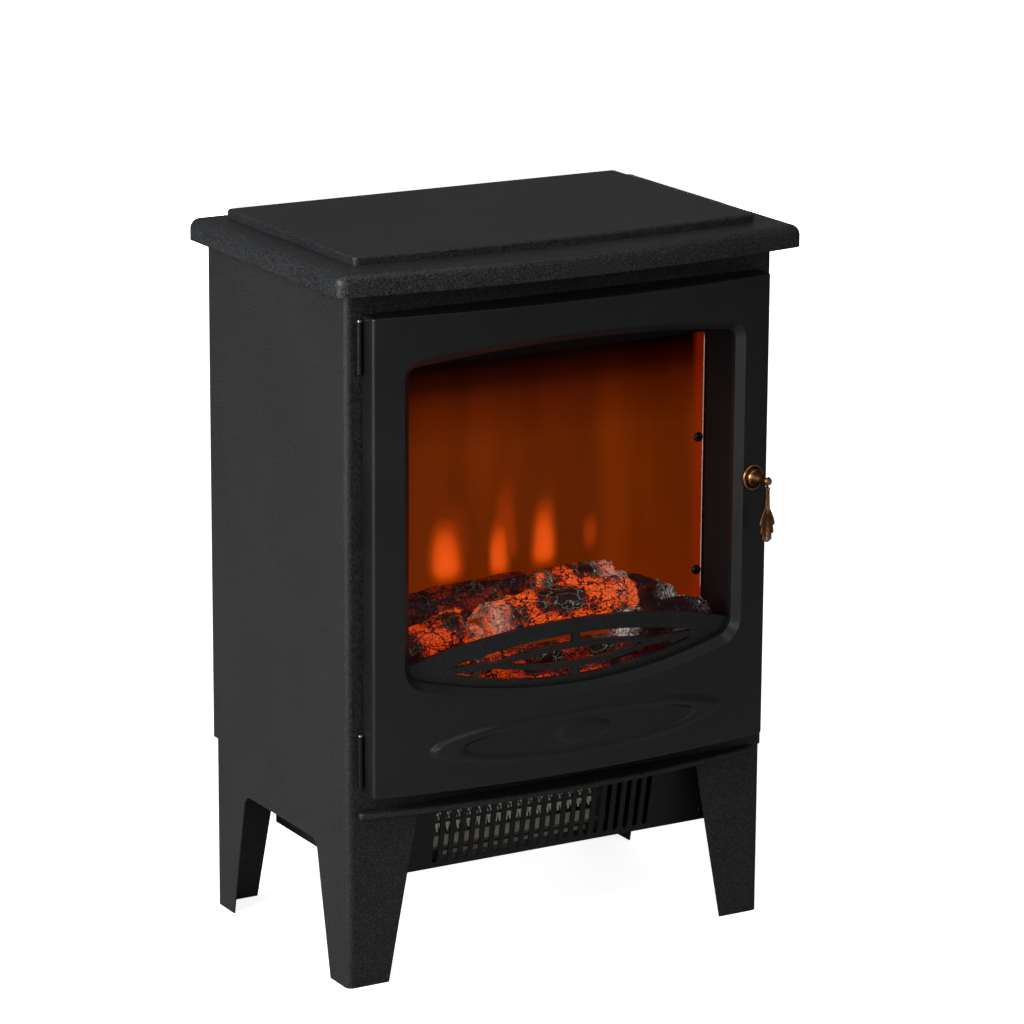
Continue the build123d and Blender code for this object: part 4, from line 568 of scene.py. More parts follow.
def join_rings(bm, rings):
    """Skin a list of rings, closing the first and last with a fan."""
    count = len(rings[0])
    for first, second in zip(rings, rings[1:]):
        for step in range(count):
            following = (step + 1) % count
            bm.faces.new((first[step], first[following], second[following], second[step]))
    for ring, flip in ((rings[0], True), (rings[-1], False)):
        middle = bm.verts.new(sum((v.co for v in ring), Vector()) / count)
        for step in range(count):
            pair = (ring[step], ring[(step + 1) % count])
            bm.faces.new((pair[1], pair[0], middle) if flip else (pair[0], pair[1], middle))


def join_sheets(bm, top, bottom):
    """Skin two equal grids of vertices back to back and close them round their border."""
    rows, columns = len(top) - 1, len(top[0]) - 1
    for grid, flip in ((top, False), (bottom, True)):
        for row in range(rows):
            for column in range(columns):
                quad = grid[row][column : column + 2] + grid[row + 1][column : column + 2][::-1]
                bm.faces.new(quad[::-1] if flip else quad)
    border = [(0, c) for c in range(columns)] + [(r, columns) for r in range(rows)]
    border += [(rows, c) for c in range(columns, 0, -1)] + [(r, 0) for r in range(rows, 0, -1)]
    for (r1, c1), (r2, c2) in zip(border, border[1:] + border[:1]):
        bm.faces.new((bottom[r1][c1], bottom[r2][c2], top[r2][c2], top[r1][c1]))


def eased(value):
    """Value held between 0 and 1 and smoothed at both ends."""
    held = max(0.0, min(1.0, value))
    return held * held * (3 - 2 * held)


def note_rub_and_highlight(mesh, share):
    """Note at each point, as share(point) gives it, how far the brass is worn by rubbing and lit by
    painted highlight.
    """
    layer = mesh.attributes.new("rub_and_highlight", "FLOAT", "POINT")
    for vertex in mesh.vertices:
        layer.data[vertex.index].value = share(vertex.co)


def tube(bm, points, radii, count=14):
    """Round bar through the points with a radius at each."""
    rings = []
    for index, (point, radius) in enumerate(zip(points, radii)):
        before = points[max(index - 1, 0)]
        after = points[min(index + 1, len(points) - 1)]
        along = (after - before).normalized()
        side = along.orthogonal().normalized()
        if rings:
            side = (last_side - along * last_side.dot(along)).normalized()
        last_side = side
        rings.append(add_ring(bm, point, side, along.cross(side), radius, count))
    join_rings(bm, rings)


def islands(node_name):
    """Boxes of a CAD node's separate solids, as (lowest, highest) corners."""
    bm = bmesh.new()
    bm.from_mesh(frame["nodes"][node_name].data)
    bmesh.ops.remove_doubles(bm, verts=bm.verts, dist=0.01 * MM)
    left = set(bm.verts)
    boxes = []
    while left:
        seed = min(left, key=lambda v: v.index)
        found, stack = {seed}, [seed]
        while stack:
            for edge in stack.pop().link_edges:
                for vertex in edge.verts:
                    if vertex not in found:
                        found.add(vertex)
                        stack.append(vertex)
        left -= found
        corners = [v.co for v in found]
        boxes.append(
            (
                Vector(min(c[i] for c in corners) for i in range(3)),
                Vector(max(c[i] for c in corners) for i in range(3)),
            )
        )
    bm.free()
    return sorted(boxes, key=lambda b: tuple(round(v, 5) for v in b[0]))


def finish_nodes(material, *names):
    """Give CAD nodes a better material."""
    for name in names:
        mesh = frame["nodes"][name].data
        mesh.materials.clear()
        mesh.materials.append(material)


# ---- Geometry Nodes ------------------------------------------------------------------------
def start_tree(name, **kinds):
    """A tree with geometry in and out and the named inputs, and the sockets that give them."""
    tree = bpy.data.node_groups.new(name, "GeometryNodeTree")
    tree.interface.new_socket("Geometry", in_out="OUTPUT", socket_type="NodeSocketGeometry")
    for label, kind in {"Geometry": "Geometry", **kinds, "Material": "Material"}.items():
        tree.interface.new_socket(label, in_out="INPUT", socket_type="NodeSocket" + kind)
    return tree, tree.nodes.new("NodeGroupInput").outputs


def row_tree():
    """Repeats a piece along a line: piece, count, start and step are inputs."""
    tree, given = start_tree(
        "row_of_pieces", Piece="Object", Count="Int", Start="Vector", Step="Vector",
    )
    line = node(tree, "GeometryNodeMeshLine", None, {
        "Count": given["Count"],
        "Start Location": given["Start"],
        "Offset": given["Step"],
    })
    shape = node(tree, "GeometryNodeObjectInfo", None, {"Object": given["Piece"]})
    copies = node(tree, "GeometryNodeInstanceOnPoints", None, {
        "Points": line.outputs[0],
        "Instance": shape.outputs["Geometry"],
    })
    return close_tree(tree, copies.outputs[0], given["Material"])


def screw_tree():
    """Sets one screw head on each point, facing one way, at a head radius and height."""
    tree, given = start_tree(
        "screw_heads", Head="Object", Size="Vector", Facing="Vector", Seed="Int",
    )
    head = node(tree, "GeometryNodeObjectInfo", None, {"Object": given["Head"]})
    turn = node(tree, "FunctionNodeRandomValue", {"data_type": "FLOAT"}, {
        2: 0.0,
        3: math.tau,
        "Seed": given["Seed"],
    })
    spin = node(tree, "FunctionNodeAxisAngleToRotation", None, {
        "Axis": (0, 0, 1),
        "Angle": turn.outputs[1],
    })
    aim = node(tree, "FunctionNodeAlignRotationToVector", {"axis": "Z"}, {
        "Vector": given["Facing"]
    })
    both = node(tree, "FunctionNodeRotateRotation", {"rotation_space": "LOCAL"}, {
        0: aim.outputs[0],
        1: spin.outputs[0],
    })
    copies = node(tree, "GeometryNodeInstanceOnPoints", None, {
        "Points": given["Geometry"],
        "Instance": head.outputs["Geometry"],
        "Rotation": both.outputs[0],
        "Scale": given["Size"],
    })
    return close_tree(tree, copies.outputs[0], given["Material"])


def ash_tree():
    """Scatters flakes over the dusty parts of the logs; density and seed are inputs."""
    tree, given = start_tree("ash_flakes", Flake="Object", Density="Float", Seed="Int")
    dusty = node(tree, "GeometryNodeInputNamedAttribute", {"data_type": "FLOAT"}, {
        "Name": "ash"
    }).outputs["Attribute"]
    amount = node(tree, "ShaderNodeMath", {"operation": "MULTIPLY"}, {
        0: dusty,
        1: given["Density"],
    })
    points = node(tree, "GeometryNodeDistributePointsOnFaces", None, {
        "Mesh": given["Geometry"],
        "Density": amount.outputs[0],
        "Seed": given["Seed"],
    })
    size = node(tree, "FunctionNodeRandomValue", {"data_type": "FLOAT"}, {
        2: 0.5,
        3: 1.35,
        "Seed": given["Seed"],
    })
    turn = node(tree, "FunctionNodeRandomValue", {"data_type": "FLOAT_VECTOR"}, {
        0: (-0.5, -0.5, 0.0),
        1: (0.5, 0.5, math.tau),
        "Seed": given["Seed"],
    })
    both = node(tree, "FunctionNodeRotateRotation", {"rotation_space": "LOCAL"}, {
        0: points.outputs["Rotation"],
        1: turn.outputs[0],
    })
    flake = node(tree, "GeometryNodeObjectInfo", None, {"Object": given["Flake"]})
    copies = node(tree, "GeometryNodeInstanceOnPoints", None, {
        "Points": points.outputs[0],
        "Instance": flake.outputs["Geometry"],
        "Rotation": both.outputs[0],
        "Scale": size.outputs[1],
    })
    return close_tree(tree, copies.outputs[0], given["Material"])


def close_tree(tree, shape, material):
    """End a tree in real geometry with its material."""
    real = node(tree, "GeometryNodeRealizeInstances", None, {0: shape})
    coloured = node(tree, "GeometryNodeSetMaterial", None, {
        0: real.outputs[0],
        "Material": material,
    })
    node(tree, "NodeGroupOutput", None, {0: coloured.outputs[0]})
    return tree


def grown(carrier, tree, name, values):
    """Run a tree on the carrier object and keep the result as a plain mesh."""
    modifier = carrier.modifiers.new("grow", "NODES")
    modifier.node_group = tree
    identifiers = {
        item.name: item.identifier for item in tree.interface.items_tree if item.in_out == "INPUT"
    }
    for label, value in values.items():
        modifier[identifiers[label]] = value
    return baked(carrier, name)


def points_object(points):
    """A mesh of loose points for a tree to work on."""
    mesh = bpy.data.meshes.new("points")
    mesh.from_pydata(points, [], [])
    return linked("points", mesh)


# ---- Operators -----------------------------------------------------------------------------
# Soft boxes: name, place from the stove's middle, size and power.
SOFT_LIGHTS = [
    ("overhead", (-0.2, -0.5, 2.4), (2.4, 2.0), 14),
    ("left_wall", (-2.4, -0.5, 0.9), (1.6, 1.8), 82),
    ("front_left", (-1.3, -2.6, 0.9), (1.0, 1.2), 10),
    ("back_fill", (1.2, 2.6, 0.0), (1.6, 0.5), 16),
    ("front_right", (1.7, -2.3, 0.7), (0.5, 1.6), 0.7),
]


class STOVE_OT_stage(bpy.types.Operator):
    """Camera, pale floor and soft studio light"""

    bl_idname = "stove.stage"
    bl_label = "Stage"

    def execute(self, context):
        scene = context.scene
        view = scene.stove_view
        back = Vector(
            (
                math.sin(view.azimuth) * math.cos(view.elevation),
                -math.cos(view.azimuth) * math.cos(view.elevation), math.sin(view.elevation),
            )
        )
        camera = linked("camera", bpy.data.cameras.new("camera"))
        camera.data.lens = view.lens
        camera.data.clip_end = 50
        camera.location = Vector(view.target) + back * view.distance
        level = (-back).to_track_quat("-Z", "Y")
        camera.rotation_mode = "QUATERNION"
        camera.rotation_quaternion = level @ Matrix.Rotation(view.roll, 3, "Z").to_quaternion()
        scene.camera = camera
        scene.view_settings.view_transform = "Standard"
        self.add_floor()
        self.add_world(scene)
        middle = (CAD_BOX[0] + CAD_BOX[1]) / 2
        for name, offset, size, power in SOFT_LIGHTS:
            lamp = bpy.data.lights.new(name, "AREA")
            lamp.shape = "RECTANGLE"
            lamp.size, lamp.size_y = size
            lamp.energy = power
            holder = linked(name, lamp)
            holder.location = middle + Vector(offset)
            holder.rotation_mode = "QUATERNION"
            holder.rotation_quaternion = (-Vector(offset)).to_track_quat("-Z", "Y")
        return {"FINISHED"}

    def add_floor(self):
        """A broad pale floor, seen white and lit as a dimmer grey."""
        bm = bmesh.new()
        bmesh.ops.create_grid(bm, x_segments=8, y_segments=8, size=14)
        material, tree, place = new_material("pale_studio_floor")
        cloud = grain(tree, place, 0.6, 2.0)
        pale = {
            "Base Color": mixed(tree, "blend", cloud, linear("#f4f4f3"), linear("#fafafa")),
            "Roughness": 0.9,
            "Specular IOR Level": 0.05,
            "Emission Color": linear("#ffffff"),
            "Emission Strength": 0.86,
        }
        dim = {"Base Color": linear("#a6a6a6"), "Roughness": 0.9, "Specular IOR Level": 0.05}
        seen = node(tree, "ShaderNodeBsdfPrincipled", None, pale)
        cast = node(tree, "ShaderNodeBsdfPrincipled", None, dim)
        self.end_in(tree, "ShaderNodeOutputMaterial", seen, cast)
        as_object(bm, "floor", material)

    def add_world(self, scene):
        """White surroundings, dimmer as a light than as a backdrop."""
        world = bpy.data.worlds.new("studio")
        scene.world = world
        world.use_nodes = True
        tree = world.node_tree
        tree.nodes.clear()
        seen = node(tree, "ShaderNodeBackground", None, {
            "Color": linear("#ffffff"),
            "Strength": 1.0,
        })
        cast = node(tree, "ShaderNodeBackground", None, {
            "Color": linear("#fbfbfc"),
            "Strength": 0.12,
        })
        self.end_in(tree, "ShaderNodeOutputWorld", seen, cast)

    def end_in(self, tree, output, seen, cast):
        """End the tree in one shader for what is seen and one for the light that is cast."""
        path = node(tree, "ShaderNodeLightPath")
        both = node(tree, "ShaderNodeMixShader", None, {
            0: path.outputs["Is Camera Ray"],
            1: cast.outputs[0],
            2: seen.outputs[0],
        })
        node(tree, output, None, {"Surface": both.outputs[0]})


class STOVE_OT_sheet_metal(bpy.types.Operator):
    """Finishes of the folded sheets, the door and the inner works"""

    bl_idname = "stove.sheet_metal"
    bl_label = "Sheet metal finishes"

    def execute(self, context):
        coat = powder_coat("textured_powder_coat", "#0f1010", "#373837")
        finish_nodes(coat, "cabinet_wrap", "base_frame", "hearth_ledge", "back_cover")
        finish_nodes(powder_coat("coarse_powder_coat", "#0c0d0d", "#404144", 0.42), "lid")
        finish_nodes(powder_coat("grille_coat", "#0a0b0b", "#161717", 0.5), "heater_grille")
        finish_nodes(satin_enamel(), "door_frame")
        # The fret gets a lighter copy of the door's black: painted light on its face, as if lit from
        # above left.
        finish_nodes(powder_coat("fret_enamel_painted_light", "#121314", "#2a2b2d", 0.4), "door_fret")
        paint = stove_paint()
        finish_nodes(
            paint, "firebox_wall_left", "firebox_wall_right", "firebox_roof", "firebox_floor",
            "control_panel",
        )
        spangle = plated_steel("galvanised_sheet", "#77797b", "#a4a7a9", 9 * MM, 0.4)
        finish_nodes(
            spangle, "top_panel", "floor_plate", "light_box_back", "flame_reflector", "fan_bearing",
            "fan_scroll",
        )
        finish_nodes(
            plated_steel("dark_tray_sheet", "#2a2b2b", "#3d3e3e", 6 * MM, 0.5), "heater_tray",
        )
        zinc = plated_steel("zinc_plate", "#9a9c9e", "#c4c6c8", 1.6 * MM, 0.3)
        finish_nodes(
            zinc, "lid_screws", "ledge_screws", "fret_screws", "hinge_rivets", "hinge_pins",
            "strike_plate", "handle_nut", "fan_shaft",
        )
        finish_nodes(blackened_steel(), "hinge_frame_leaves", "hinge_door_leaves")
        return {"FINISHED"}


# The pressing on the door, in millimetres: half width and half height of the sheet that carries
# it, of the ring's outside and inside and of the boss, and how far its middle is above the foot.
PRESSED_SHEET, RING_OUTSIDE, RING_INSIDE, BOSS = (127, 22), (
    122.0, 17.0,
), (100.0, 13.0), (22.0, 8.5)
PRESSED_MIDDLE = 31.5


class STOVE_OT_door_relief(bpy.types.Operator):
    """Softly pressed ring with broad ends, and a low boss inside it, on the bowed door"""

    bl_idname = "stove.door_relief"
    bl_label = "Door relief"

    def execute(self, context):
        door = frame["nodes"]["door_frame"]
        bm = bmesh.new()
        bm.from_mesh(door.data)
        tree = BVHTree.FromBMesh(bm)
        bm.free()
        low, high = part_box("door_frame")
        middle_x = ((low + high) / 2).x
        half, rise = (size * MM for size in PRESSED_SHEET)
        middle_z = low.z + PRESSED_MIDDLE * MM
        inward = 0.45
        edge_y = self.face_at(tree, middle_x + half, low, middle_z)
        crown_y = self.face_at(tree, middle_x + half * inward, low, middle_z - 26 * MM)
        bend = (edge_y - crown_y) / (half**2 * (1 - inward**2))
        top_y = crown_y - bend * (half * inward) ** 2
        sheet = bmesh.new()
        columns, rows = 250, 44
        front, back = [], []
        for row in range(rows + 1):
            front.append([])
            back.append([])
            for column in range(columns + 1):
                x = half * (2 * column / columns - 1)
                z = rise * (2 * row / rows - 1)
                y = top_y + bend * x * x
                lift = self.height(x / MM, z / MM) * MM
                front[-1].append(sheet.verts.new((middle_x + x, y - lift, middle_z + z)))
                back[-1].append(sheet.verts.new((middle_x + x, y + 1.1 * MM, middle_z + z)))
        join_sheets(sheet, front, back)
        bmesh.ops.recalc_face_normals(sheet, faces=sheet.faces)
        relief = as_object(sheet, "door_relief", door.data.materials[0])
        place_piece(relief, "door", "door_enamel")
        return {"FINISHED"}

    def face_at(self, tree, x, low, z):
        """Depth of the door's face at x and z."""
        hit = tree.ray_cast(Vector((x, low.y - 0.05, z)), Vector((0, 1, 0)))[0]
        if hit is None:
            raise RuntimeError("no door face found")
        return hit.y

    def outside(self, x, z, oval):
        """About how many millimetres a point is outside an oval; less than 0 inside it."""
        wide, tall = oval
        share = math.hypot(x / wide, z / tall)
        slope = math.hypot(x / wide * tall / wide, z / tall) / max(share, 1e-6)
        return (share - 1) * tall / max(0.25, slope)

    def height(self, x, z):
        """Millimetres that the pressing stands off the face: a rounded ring and a boss."""
        wall, soft = 3.0, 5.0
        ring = eased((wall - self.outside(x, z, RING_OUTSIDE)) / soft)
        ring *= eased((self.outside(x, z, RING_INSIDE) + wall) / soft)
        knob = eased((1.25 - math.hypot(x / BOSS[0], z / BOSS[1])) / 0.55)
        tips = eased((abs(x) - 45.0) / 45.0)
        return -0.3 + max((1.0 + 2.3 * tips) * ring, 2.6 * knob)


class STOVE_OT_flame_screen(bpy.types.Operator):
    """Amber acrylic with the flame picture"""

    bl_idname = "stove.flame_screen"
    bl_label = "Flame screen"

    def execute(self, context):
        finish_nodes(amber_acrylic(), "flame_screen")
        low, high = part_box("flame_screen")
        # Pale line on each cut edge: a painted highlight, drawn as thin glowing rods.
        material, tree, place = new_material("painted_highlight_acrylic_edge")
        streak = grain(tree, place, 9 * MM, 2.0, (1, 1, 0.3))
        surface(material, {
            "Base Color": linear("#c79a90"),
            "Emission Color": mixed(tree, "blend", streak, linear("#9a6a62"), linear("#e9c9c2")),
            "Emission Strength": 0.32,
            "Roughness": 0.2,
        })
        bm = bmesh.new()
        edge = 0.35 * MM
        run = high.z - low.z - 40 * MM
        for side in (low.x, high.x):
            inward = 1 if side == low.x else -1
            corner = Vector((side + inward * 2 * edge, low.y - edge, low.z + 38 * MM))
            rings = []
            for share in (0.0, 0.02, 0.98, 1.0):
                narrow = 0.4 if share in (0.0, 1.0) else 1.0
                centre = corner + Vector((0, 0, run * share))
                rings.append(
                    add_ring(bm, centre, Vector((1, 0, 0)), Vector((0, 1, 0)), edge * narrow, 10)
                )
            join_rings(bm, rings)
        bmesh.ops.recalc_face_normals(bm, faces=bm.faces)
        place_piece(as_object(bm, "screen_edge_lights", material), "cabinet", "amber_screen")
        return {"FINISHED"}


# Logs, in millimetres: start, end, radius, heat at start and end, ash at start and end.
LOGS = [
    ((-141, -50, 262), (-40, -48, 270), 14.5, 0.20, 0.24, 0.0, 0.0),
    ((-48, -50, 275), (-5, -48, 279), 9.5, 0.16, 0.20, 0.0, 0.0),
    ((-8, -47, 270), (16, -47, 272), 10.5, 0.42, 0.40, 0.0, 0.0),
    ((10, -49, 273), (68, -49, 272), 13.0, 0.80, 0.70, 0.0, 0.8),
    ((60, -50, 267), (118, -52, 247), 13.0, 0.24, 0.04, 0.0, 1.0),
    ((-47, -66, 255), (66, -63, 260), 16.5, 0.88, 0.80, 0.6, 0.1),
    ((-142, -77, 243), (-76, -72, 256), 15.0, 0.52, 0.66, 0.0, 0.0),
    ((62, -69, 243), (141, -65, 235), 15.0, 0.12, 0.02, 1.0, 0.2),
    ((-66, -78, 227), (52, -78, 229), 9.0, 0.50, 0.24, 0.0, 0.1),
    ((30, -78, 226), (120, -76, 226), 8.5, 0.22, 0.03, 0.1, 0.4),
    ((-132, -58, 244), (-52, -60, 242), 13.0, 0.85, 1.15, 0.0, 0.0),
]


class STOVE_OT_logs(bpy.types.Operator):
    """Moulded log set: rough logs across a bed of embers, with ash flakes"""

    bl_idname = "stove.logs"
    bl_label = "Log set"

    def execute(self, context):
        fire = context.scene.stove_fire
        low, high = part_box("log_set")
        bm = bmesh.new()
        for number, (start, end, radius, *_rest) in enumerate(LOGS):
            self.add_log(
                bm, Vector(start) * MM, Vector(end) * MM, radius * MM, fire.seed + 7 * number,
            )
        self.add_bed(bm, low, high)
        raw = as_object(bm, "log_set_raw", ember_resin())
        remesh = raw.modifiers.new("mould", "REMESH")
        remesh.mode = "VOXEL"
        remesh.voxel_size = fire.voxel
        logs = baked(raw, "ember_logs")
        self.roughen(logs.data, low, high, fire.seed)
        place_piece(logs, "cabinet", "log_resin", "log_set")
        self.scatter_ash(logs, fire.seed)
        return {"FINISHED"}

    def add_log(self, bm, start, end, radius, seed):
        """A bent, knotted stick with sawn ends."""
        run = end - start
        along = run.normalized()
        side = along.cross(Vector((0, 0, 1))).normalized()
        up = side.cross(along)
        steps = max(8, int(run.length / (2.4 * MM)))
        rings = []
        for step in range(steps + 1):
            share = step / steps
            bend = up * math.sin(share * math.pi) * 1.5 * MM
            tip = min(share, 1 - share) * run.length / (1.6 * MM)
            rounding = 0.90 + 0.10 * min(1.0, tip)
            centre = start + run * share + bend
            swell = 1 + 0.10 * noise.noise(Vector((share * 5, seed, 0.3)))

            def bark(angle, share=share, swell=swell):
                around = Vector((math.cos(angle) * 2.2, math.sin(angle) * 2.2 + seed, share * 1.6))
                ridge = noise.noise(around)
                split = abs(noise.noise(Vector((angle * 2.6, seed * 1.7, share * 2.2))))
                return swell * (1 + 0.13 * ridge - 0.05 * (split < 0.05))

            rings.append(add_ring(bm, centre, side, up, radius * rounding, 40, bark))
        join_rings(bm, rings)

    def add_bed(self, bm, low, high):
        """Lumpy ember bed under the logs."""
        floor = low.z
        wide, deep = high.x - low.x, high.y - low.y
        columns, rows = 90, 20
        grid = []
        for row in range(rows + 1):
            line = []
            for column in range(columns + 1):
                x = low.x + wide * column / columns
                y = low.y + deep * row / rows
                fall = min(1.0, column / 3, (columns - column) / 3, row / 3, (rows - row) / 3)
                lump = noise.noise(Vector((x * 70, y * 70, 4)))
                lump += 0.5 * noise.noise(Vector((x * 190, y * 190, 8)))
                line.append(bm.verts.new((x, y, floor + fall * (14 + 4 * lump) * MM + 0.4 * MM)))
            grid.append(line)
        base = [[bm.verts.new((v.co.x, v.co.y, floor)) for v in line] for line in grid]
        join_sheets(bm, grid, base)

    def roughen(self, mesh, low, high, seed):
        """Carve bark into the skin and note how hot, dusty and green each point is."""
        for name in ("ember", "ash", "rim"):
            mesh.attributes.new(name, "FLOAT", "POINT")
        heat, ash, rim = (mesh.attributes[name] for name in ("ember", "ash", "rim"))
        normals = [v.normal.copy() for v in mesh.vertices]
        for vertex, normal in zip(mesh.vertices, normals):
            for layer, value in zip((heat, ash, rim), self.look_at(vertex.co)):
                layer.data[vertex.index].value = value
            point = vertex.co * 1000
            coarse = noise.noise(Vector((point.x * 0.10, point.y * 0.28, point.z * 0.28 + seed)))
            fine = noise.noise(Vector((point.x * 0.45, point.y * 0.7, point.z * 0.7 + seed)))
            moved = vertex.co + normal * (0.9 * coarse + 0.45 * fine) * MM
            vertex.co = Vector(max(low[i], min(high[i], moved[i])) for i in range(3))

    def look_at(self, point):
        """Heat, ash and green rim of the nearest log at a point."""
        nearest = (1e9, 0.75, 0.0, 0.0)
        for start, end, radius, heat_a, heat_b, ash_a, ash_b in LOGS:
            first, last = Vector(start) * MM, Vector(end) * MM
            run = last - first
            share = (point - first).dot(run) / run.length_squared
            held = max(0.0, min(1.0, share))
            gap = (point - (first + run * held)).length - radius * MM
            if gap < nearest[0]:
                from_start, from_end = held * run.length, (1 - held) * run.length
                dust = max(
                    ash_a * max(0.0, 1 - from_start / (16 * MM)),
                    ash_b * max(0.0, 1 - from_end / (22 * MM)),
                )
                near_end = min(from_start, from_end)
                green = max(0.0, 1 - abs(near_end - 0.6 * MM) / (0.9 * MM))
                nearest = (gap, heat_a + (heat_b - heat_a) * held, dust, green)
        if nearest[0] > 5 * MM:
            glow = 0.62 if point.x < 0.02 else max(0.05, 0.62 - (point.x - 0.02) * 12)
            return glow, 0.0, 0.0
        return nearest[1:]

    def scatter_ash(self, logs, seed):
        """Loose flakes of ash where the logs are dusty."""
        bm = bmesh.new()
        bmesh.ops.create_icosphere(bm, subdivisions=1, radius=0.75 * MM)
        for vertex in bm.verts:
            vertex.co.z *= 0.35
            vertex.co.x *= 1.5
        flake = as_object(bm, "flake_shape", wood_ash())
        flakes = grown(linked("ash_carrier", logs.data.copy()), ash_tree(), "ash_flakes", {
            "Flake": flake,
            "Density": 180000.0,
            "Seed": seed,
            "Material": flake.data.materials[0],
        })
        bpy.data.objects.remove(flake)
        place_piece(flakes, "cabinet", "log_resin")


class STOVE_OT_handle(bpy.types.Operator):
    """Antique brass rosette, post and hanging pull"""

    bl_idname = "stove.handle"
    bl_label = "Door handle"

    def execute(self, context):
        sizes = context.scene.stove_hardware
        swing = JOINTS["pull_swing"]
        pivot = Vector(swing["pos_m"])
        along = -Vector(swing["axis"]).normalized()
        out = Vector((along.y, -along.x, 0))
        post_low, post_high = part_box("handle_rosette")
        rosette_middle = (post_low + post_high) / 2
        standoff = (pivot - rosette_middle).dot(out) + 2.8 * MM
        face = pivot - out * standoff
        brass = antique_brass()
        finish_nodes(brass, "handle_pin")
        self.add_rosette(face, out, along, sizes.rosette_radius, brass)
        self.add_pull(pivot, out, along, sizes.pull_length, brass)
        post = frame["nodes"]["handle_post"].data
        # Post lighter by the pin: wear from the swinging pull, and painted highlight.
        note_rub_and_highlight(post, lambda point: 0.55 if (point - pivot).length < 4 * MM else 0.3)
        finish_nodes(brass, "handle_post")
        return {"FINISHED"}

    def add_rosette(self, face, out, along, radius, brass):
        """Turned back plate: bead, groove, inner step and cone, as shares of its radius."""
        profile = [
            (0.2, 0.0), (1.0, 0.0), (1.0, 0.05), (1.0, 0.12), (0.985, 0.19), (0.95, 0.25),
            (0.90, 0.28), (0.85, 0.27), (0.80, 0.23), (0.755, 0.19), (0.72, 0.18), (0.69, 0.21),
            (0.675, 0.28), (0.665, 0.36), (0.645, 0.43), (0.61, 0.49), (0.57, 0.56), (0.53, 0.66),
            (0.48, 0.80), (0.42, 0.95), (0.35, 1.10), (0.30, 1.20), (0.2, 1.24),
        ]
        bm = bmesh.new()
        up = out.cross(along)
        join_rings(
            bm, [add_ring(bm, face + out * (radius * h), along, up, radius * r, 64) for r, h in profile]
        )
        bmesh.ops.recalc_face_normals(bm, faces=bm.faces)
        rosette = as_object(bm, "brass_rosette", brass)

        # Lighter on the rim bead and the inner step: wear from rubbing, and painted highlight on these
        # raised rings.
        def rub_and_highlight(point):
            step = point - face
            reach = (step - out * step.dot(out)).length / radius
            rim = math.exp(-(((reach - 0.93) / 0.07) ** 2))
            inner_step = 0.9 * math.exp(-(((reach - 0.64) / 0.05) ** 2))
            return 0.22 + 0.65 * min(1.0, rim + inner_step)

        note_rub_and_highlight(rosette.data, rub_and_highlight)
        place_piece(rosette, "door", "antique_brass", "handle_rosette")

    def add_pull(self, pivot, out, along, length, brass):
        """Stem that fans into five rounded lobes."""
        down = Vector((0, 0, -1))

        def at(across, drop, lift=0.0):
            """A point by millimetres along the pin, down, and out from the door."""
            return pivot + along * across * MM + down * drop * MM + out * lift * MM

        bm = bmesh.new()
        tube(
            bm, [at(-1.05, 0), at(-1.0, 0), at(1.0, 0), at(1.05, 0)],
            [0.9 * MM, 2.7 * MM, 2.7 * MM, 0.9 * MM], 24,
        )
        tube(bm, [at(0, 1.0), at(0, 5.6)], [1.0 * MM, 1.0 * MM], 16)
        tube(
            bm,
            [
                at(0, 4.6), at(0, 5.0), at(0, 5.9), at(0, 6.5), at(0, 8), at(0, 14), at(0, 20),
                at(0, 24),
            ],
            [value * MM for value in (1.2, 2.25, 2.3, 1.75, 1.9, 2.1, 2.35, 1.9)], 20,
        )
        tip = length / MM
        # Lobes: across, down, radius of the ball and how far it stands out.
        lobes = [
            (0.0, tip - 2.6, 2.6, 0.6), (2.9, tip - 2.9, 1.9, 0.1), (-2.9, tip - 2.9, 1.9, 0.1),
            (5.0, tip - 7.6, 1.6, 0.2), (-5.0, tip - 7.6, 1.6, 0.2), (6.1, tip - 13.8, 1.5, 0.3),
            (-6.1, tip - 13.8, 1.5, 0.3),
        ]
        for across, drop, ball, lift in lobes:
            points, radii = [], []
            for step in range(13):
                share = step / 12
                ease = eased(share)
                points.append(at(across * ease, 15 + (drop - 15) * share, lift * ease))
                radii.append((1.15 + (ball - 1.15) * share**3) * MM)
            for forward, thin in ((0.55, 0.8), (0.35, 0.3)):
                onward = (points[-1] - points[-2]).normalized()
                points.append(points[-1] + onward * ball * forward * MM)
                radii.append(ball * thin * MM)
            tube(bm, points, radii, 16)
        web = [(20, 1.0), (30, 3.6), (tip - 8, 3.4), (tip - 3.5, 1.4)]
        rings = []
        for drop, half in web:
            centre = at(0, drop, -0.2)
            ring = [
                bm.verts.new(centre + along * half * math.cos(math.tau * k / 20) * MM
                             + out * 0.7 * math.sin(math.tau * k / 20) * MM)
                for k in range(20)
            ]
            rings.append(ring)
        join_rings(bm, rings)
        bmesh.ops.recalc_face_normals(bm, faces=bm.faces)
        raw = as_object(bm, "pull_raw", brass)
        remesh = raw.modifiers.new("cast", "REMESH")
        remesh.mode = "VOXEL"
        remesh.voxel_size = 0.28 * MM
        soften = raw.modifiers.new("soften", "SMOOTH")
        soften.factor = 0.5
        soften.iterations = 1
        pull = baked(raw, "brass_pull")
        # Lighter the further a point stands out from the door: wear and painted highlight on the front
        # of the pull, painted shade on its back towards the door.
        note_rub_and_highlight(
            pull.data,
            lambda point: max(0.0, min(0.9, 0.42 * (point - pivot).dot(out) / MM - 0.02)),
        )
        place_piece(pull, "pull", "antique_brass", "handle_pull")


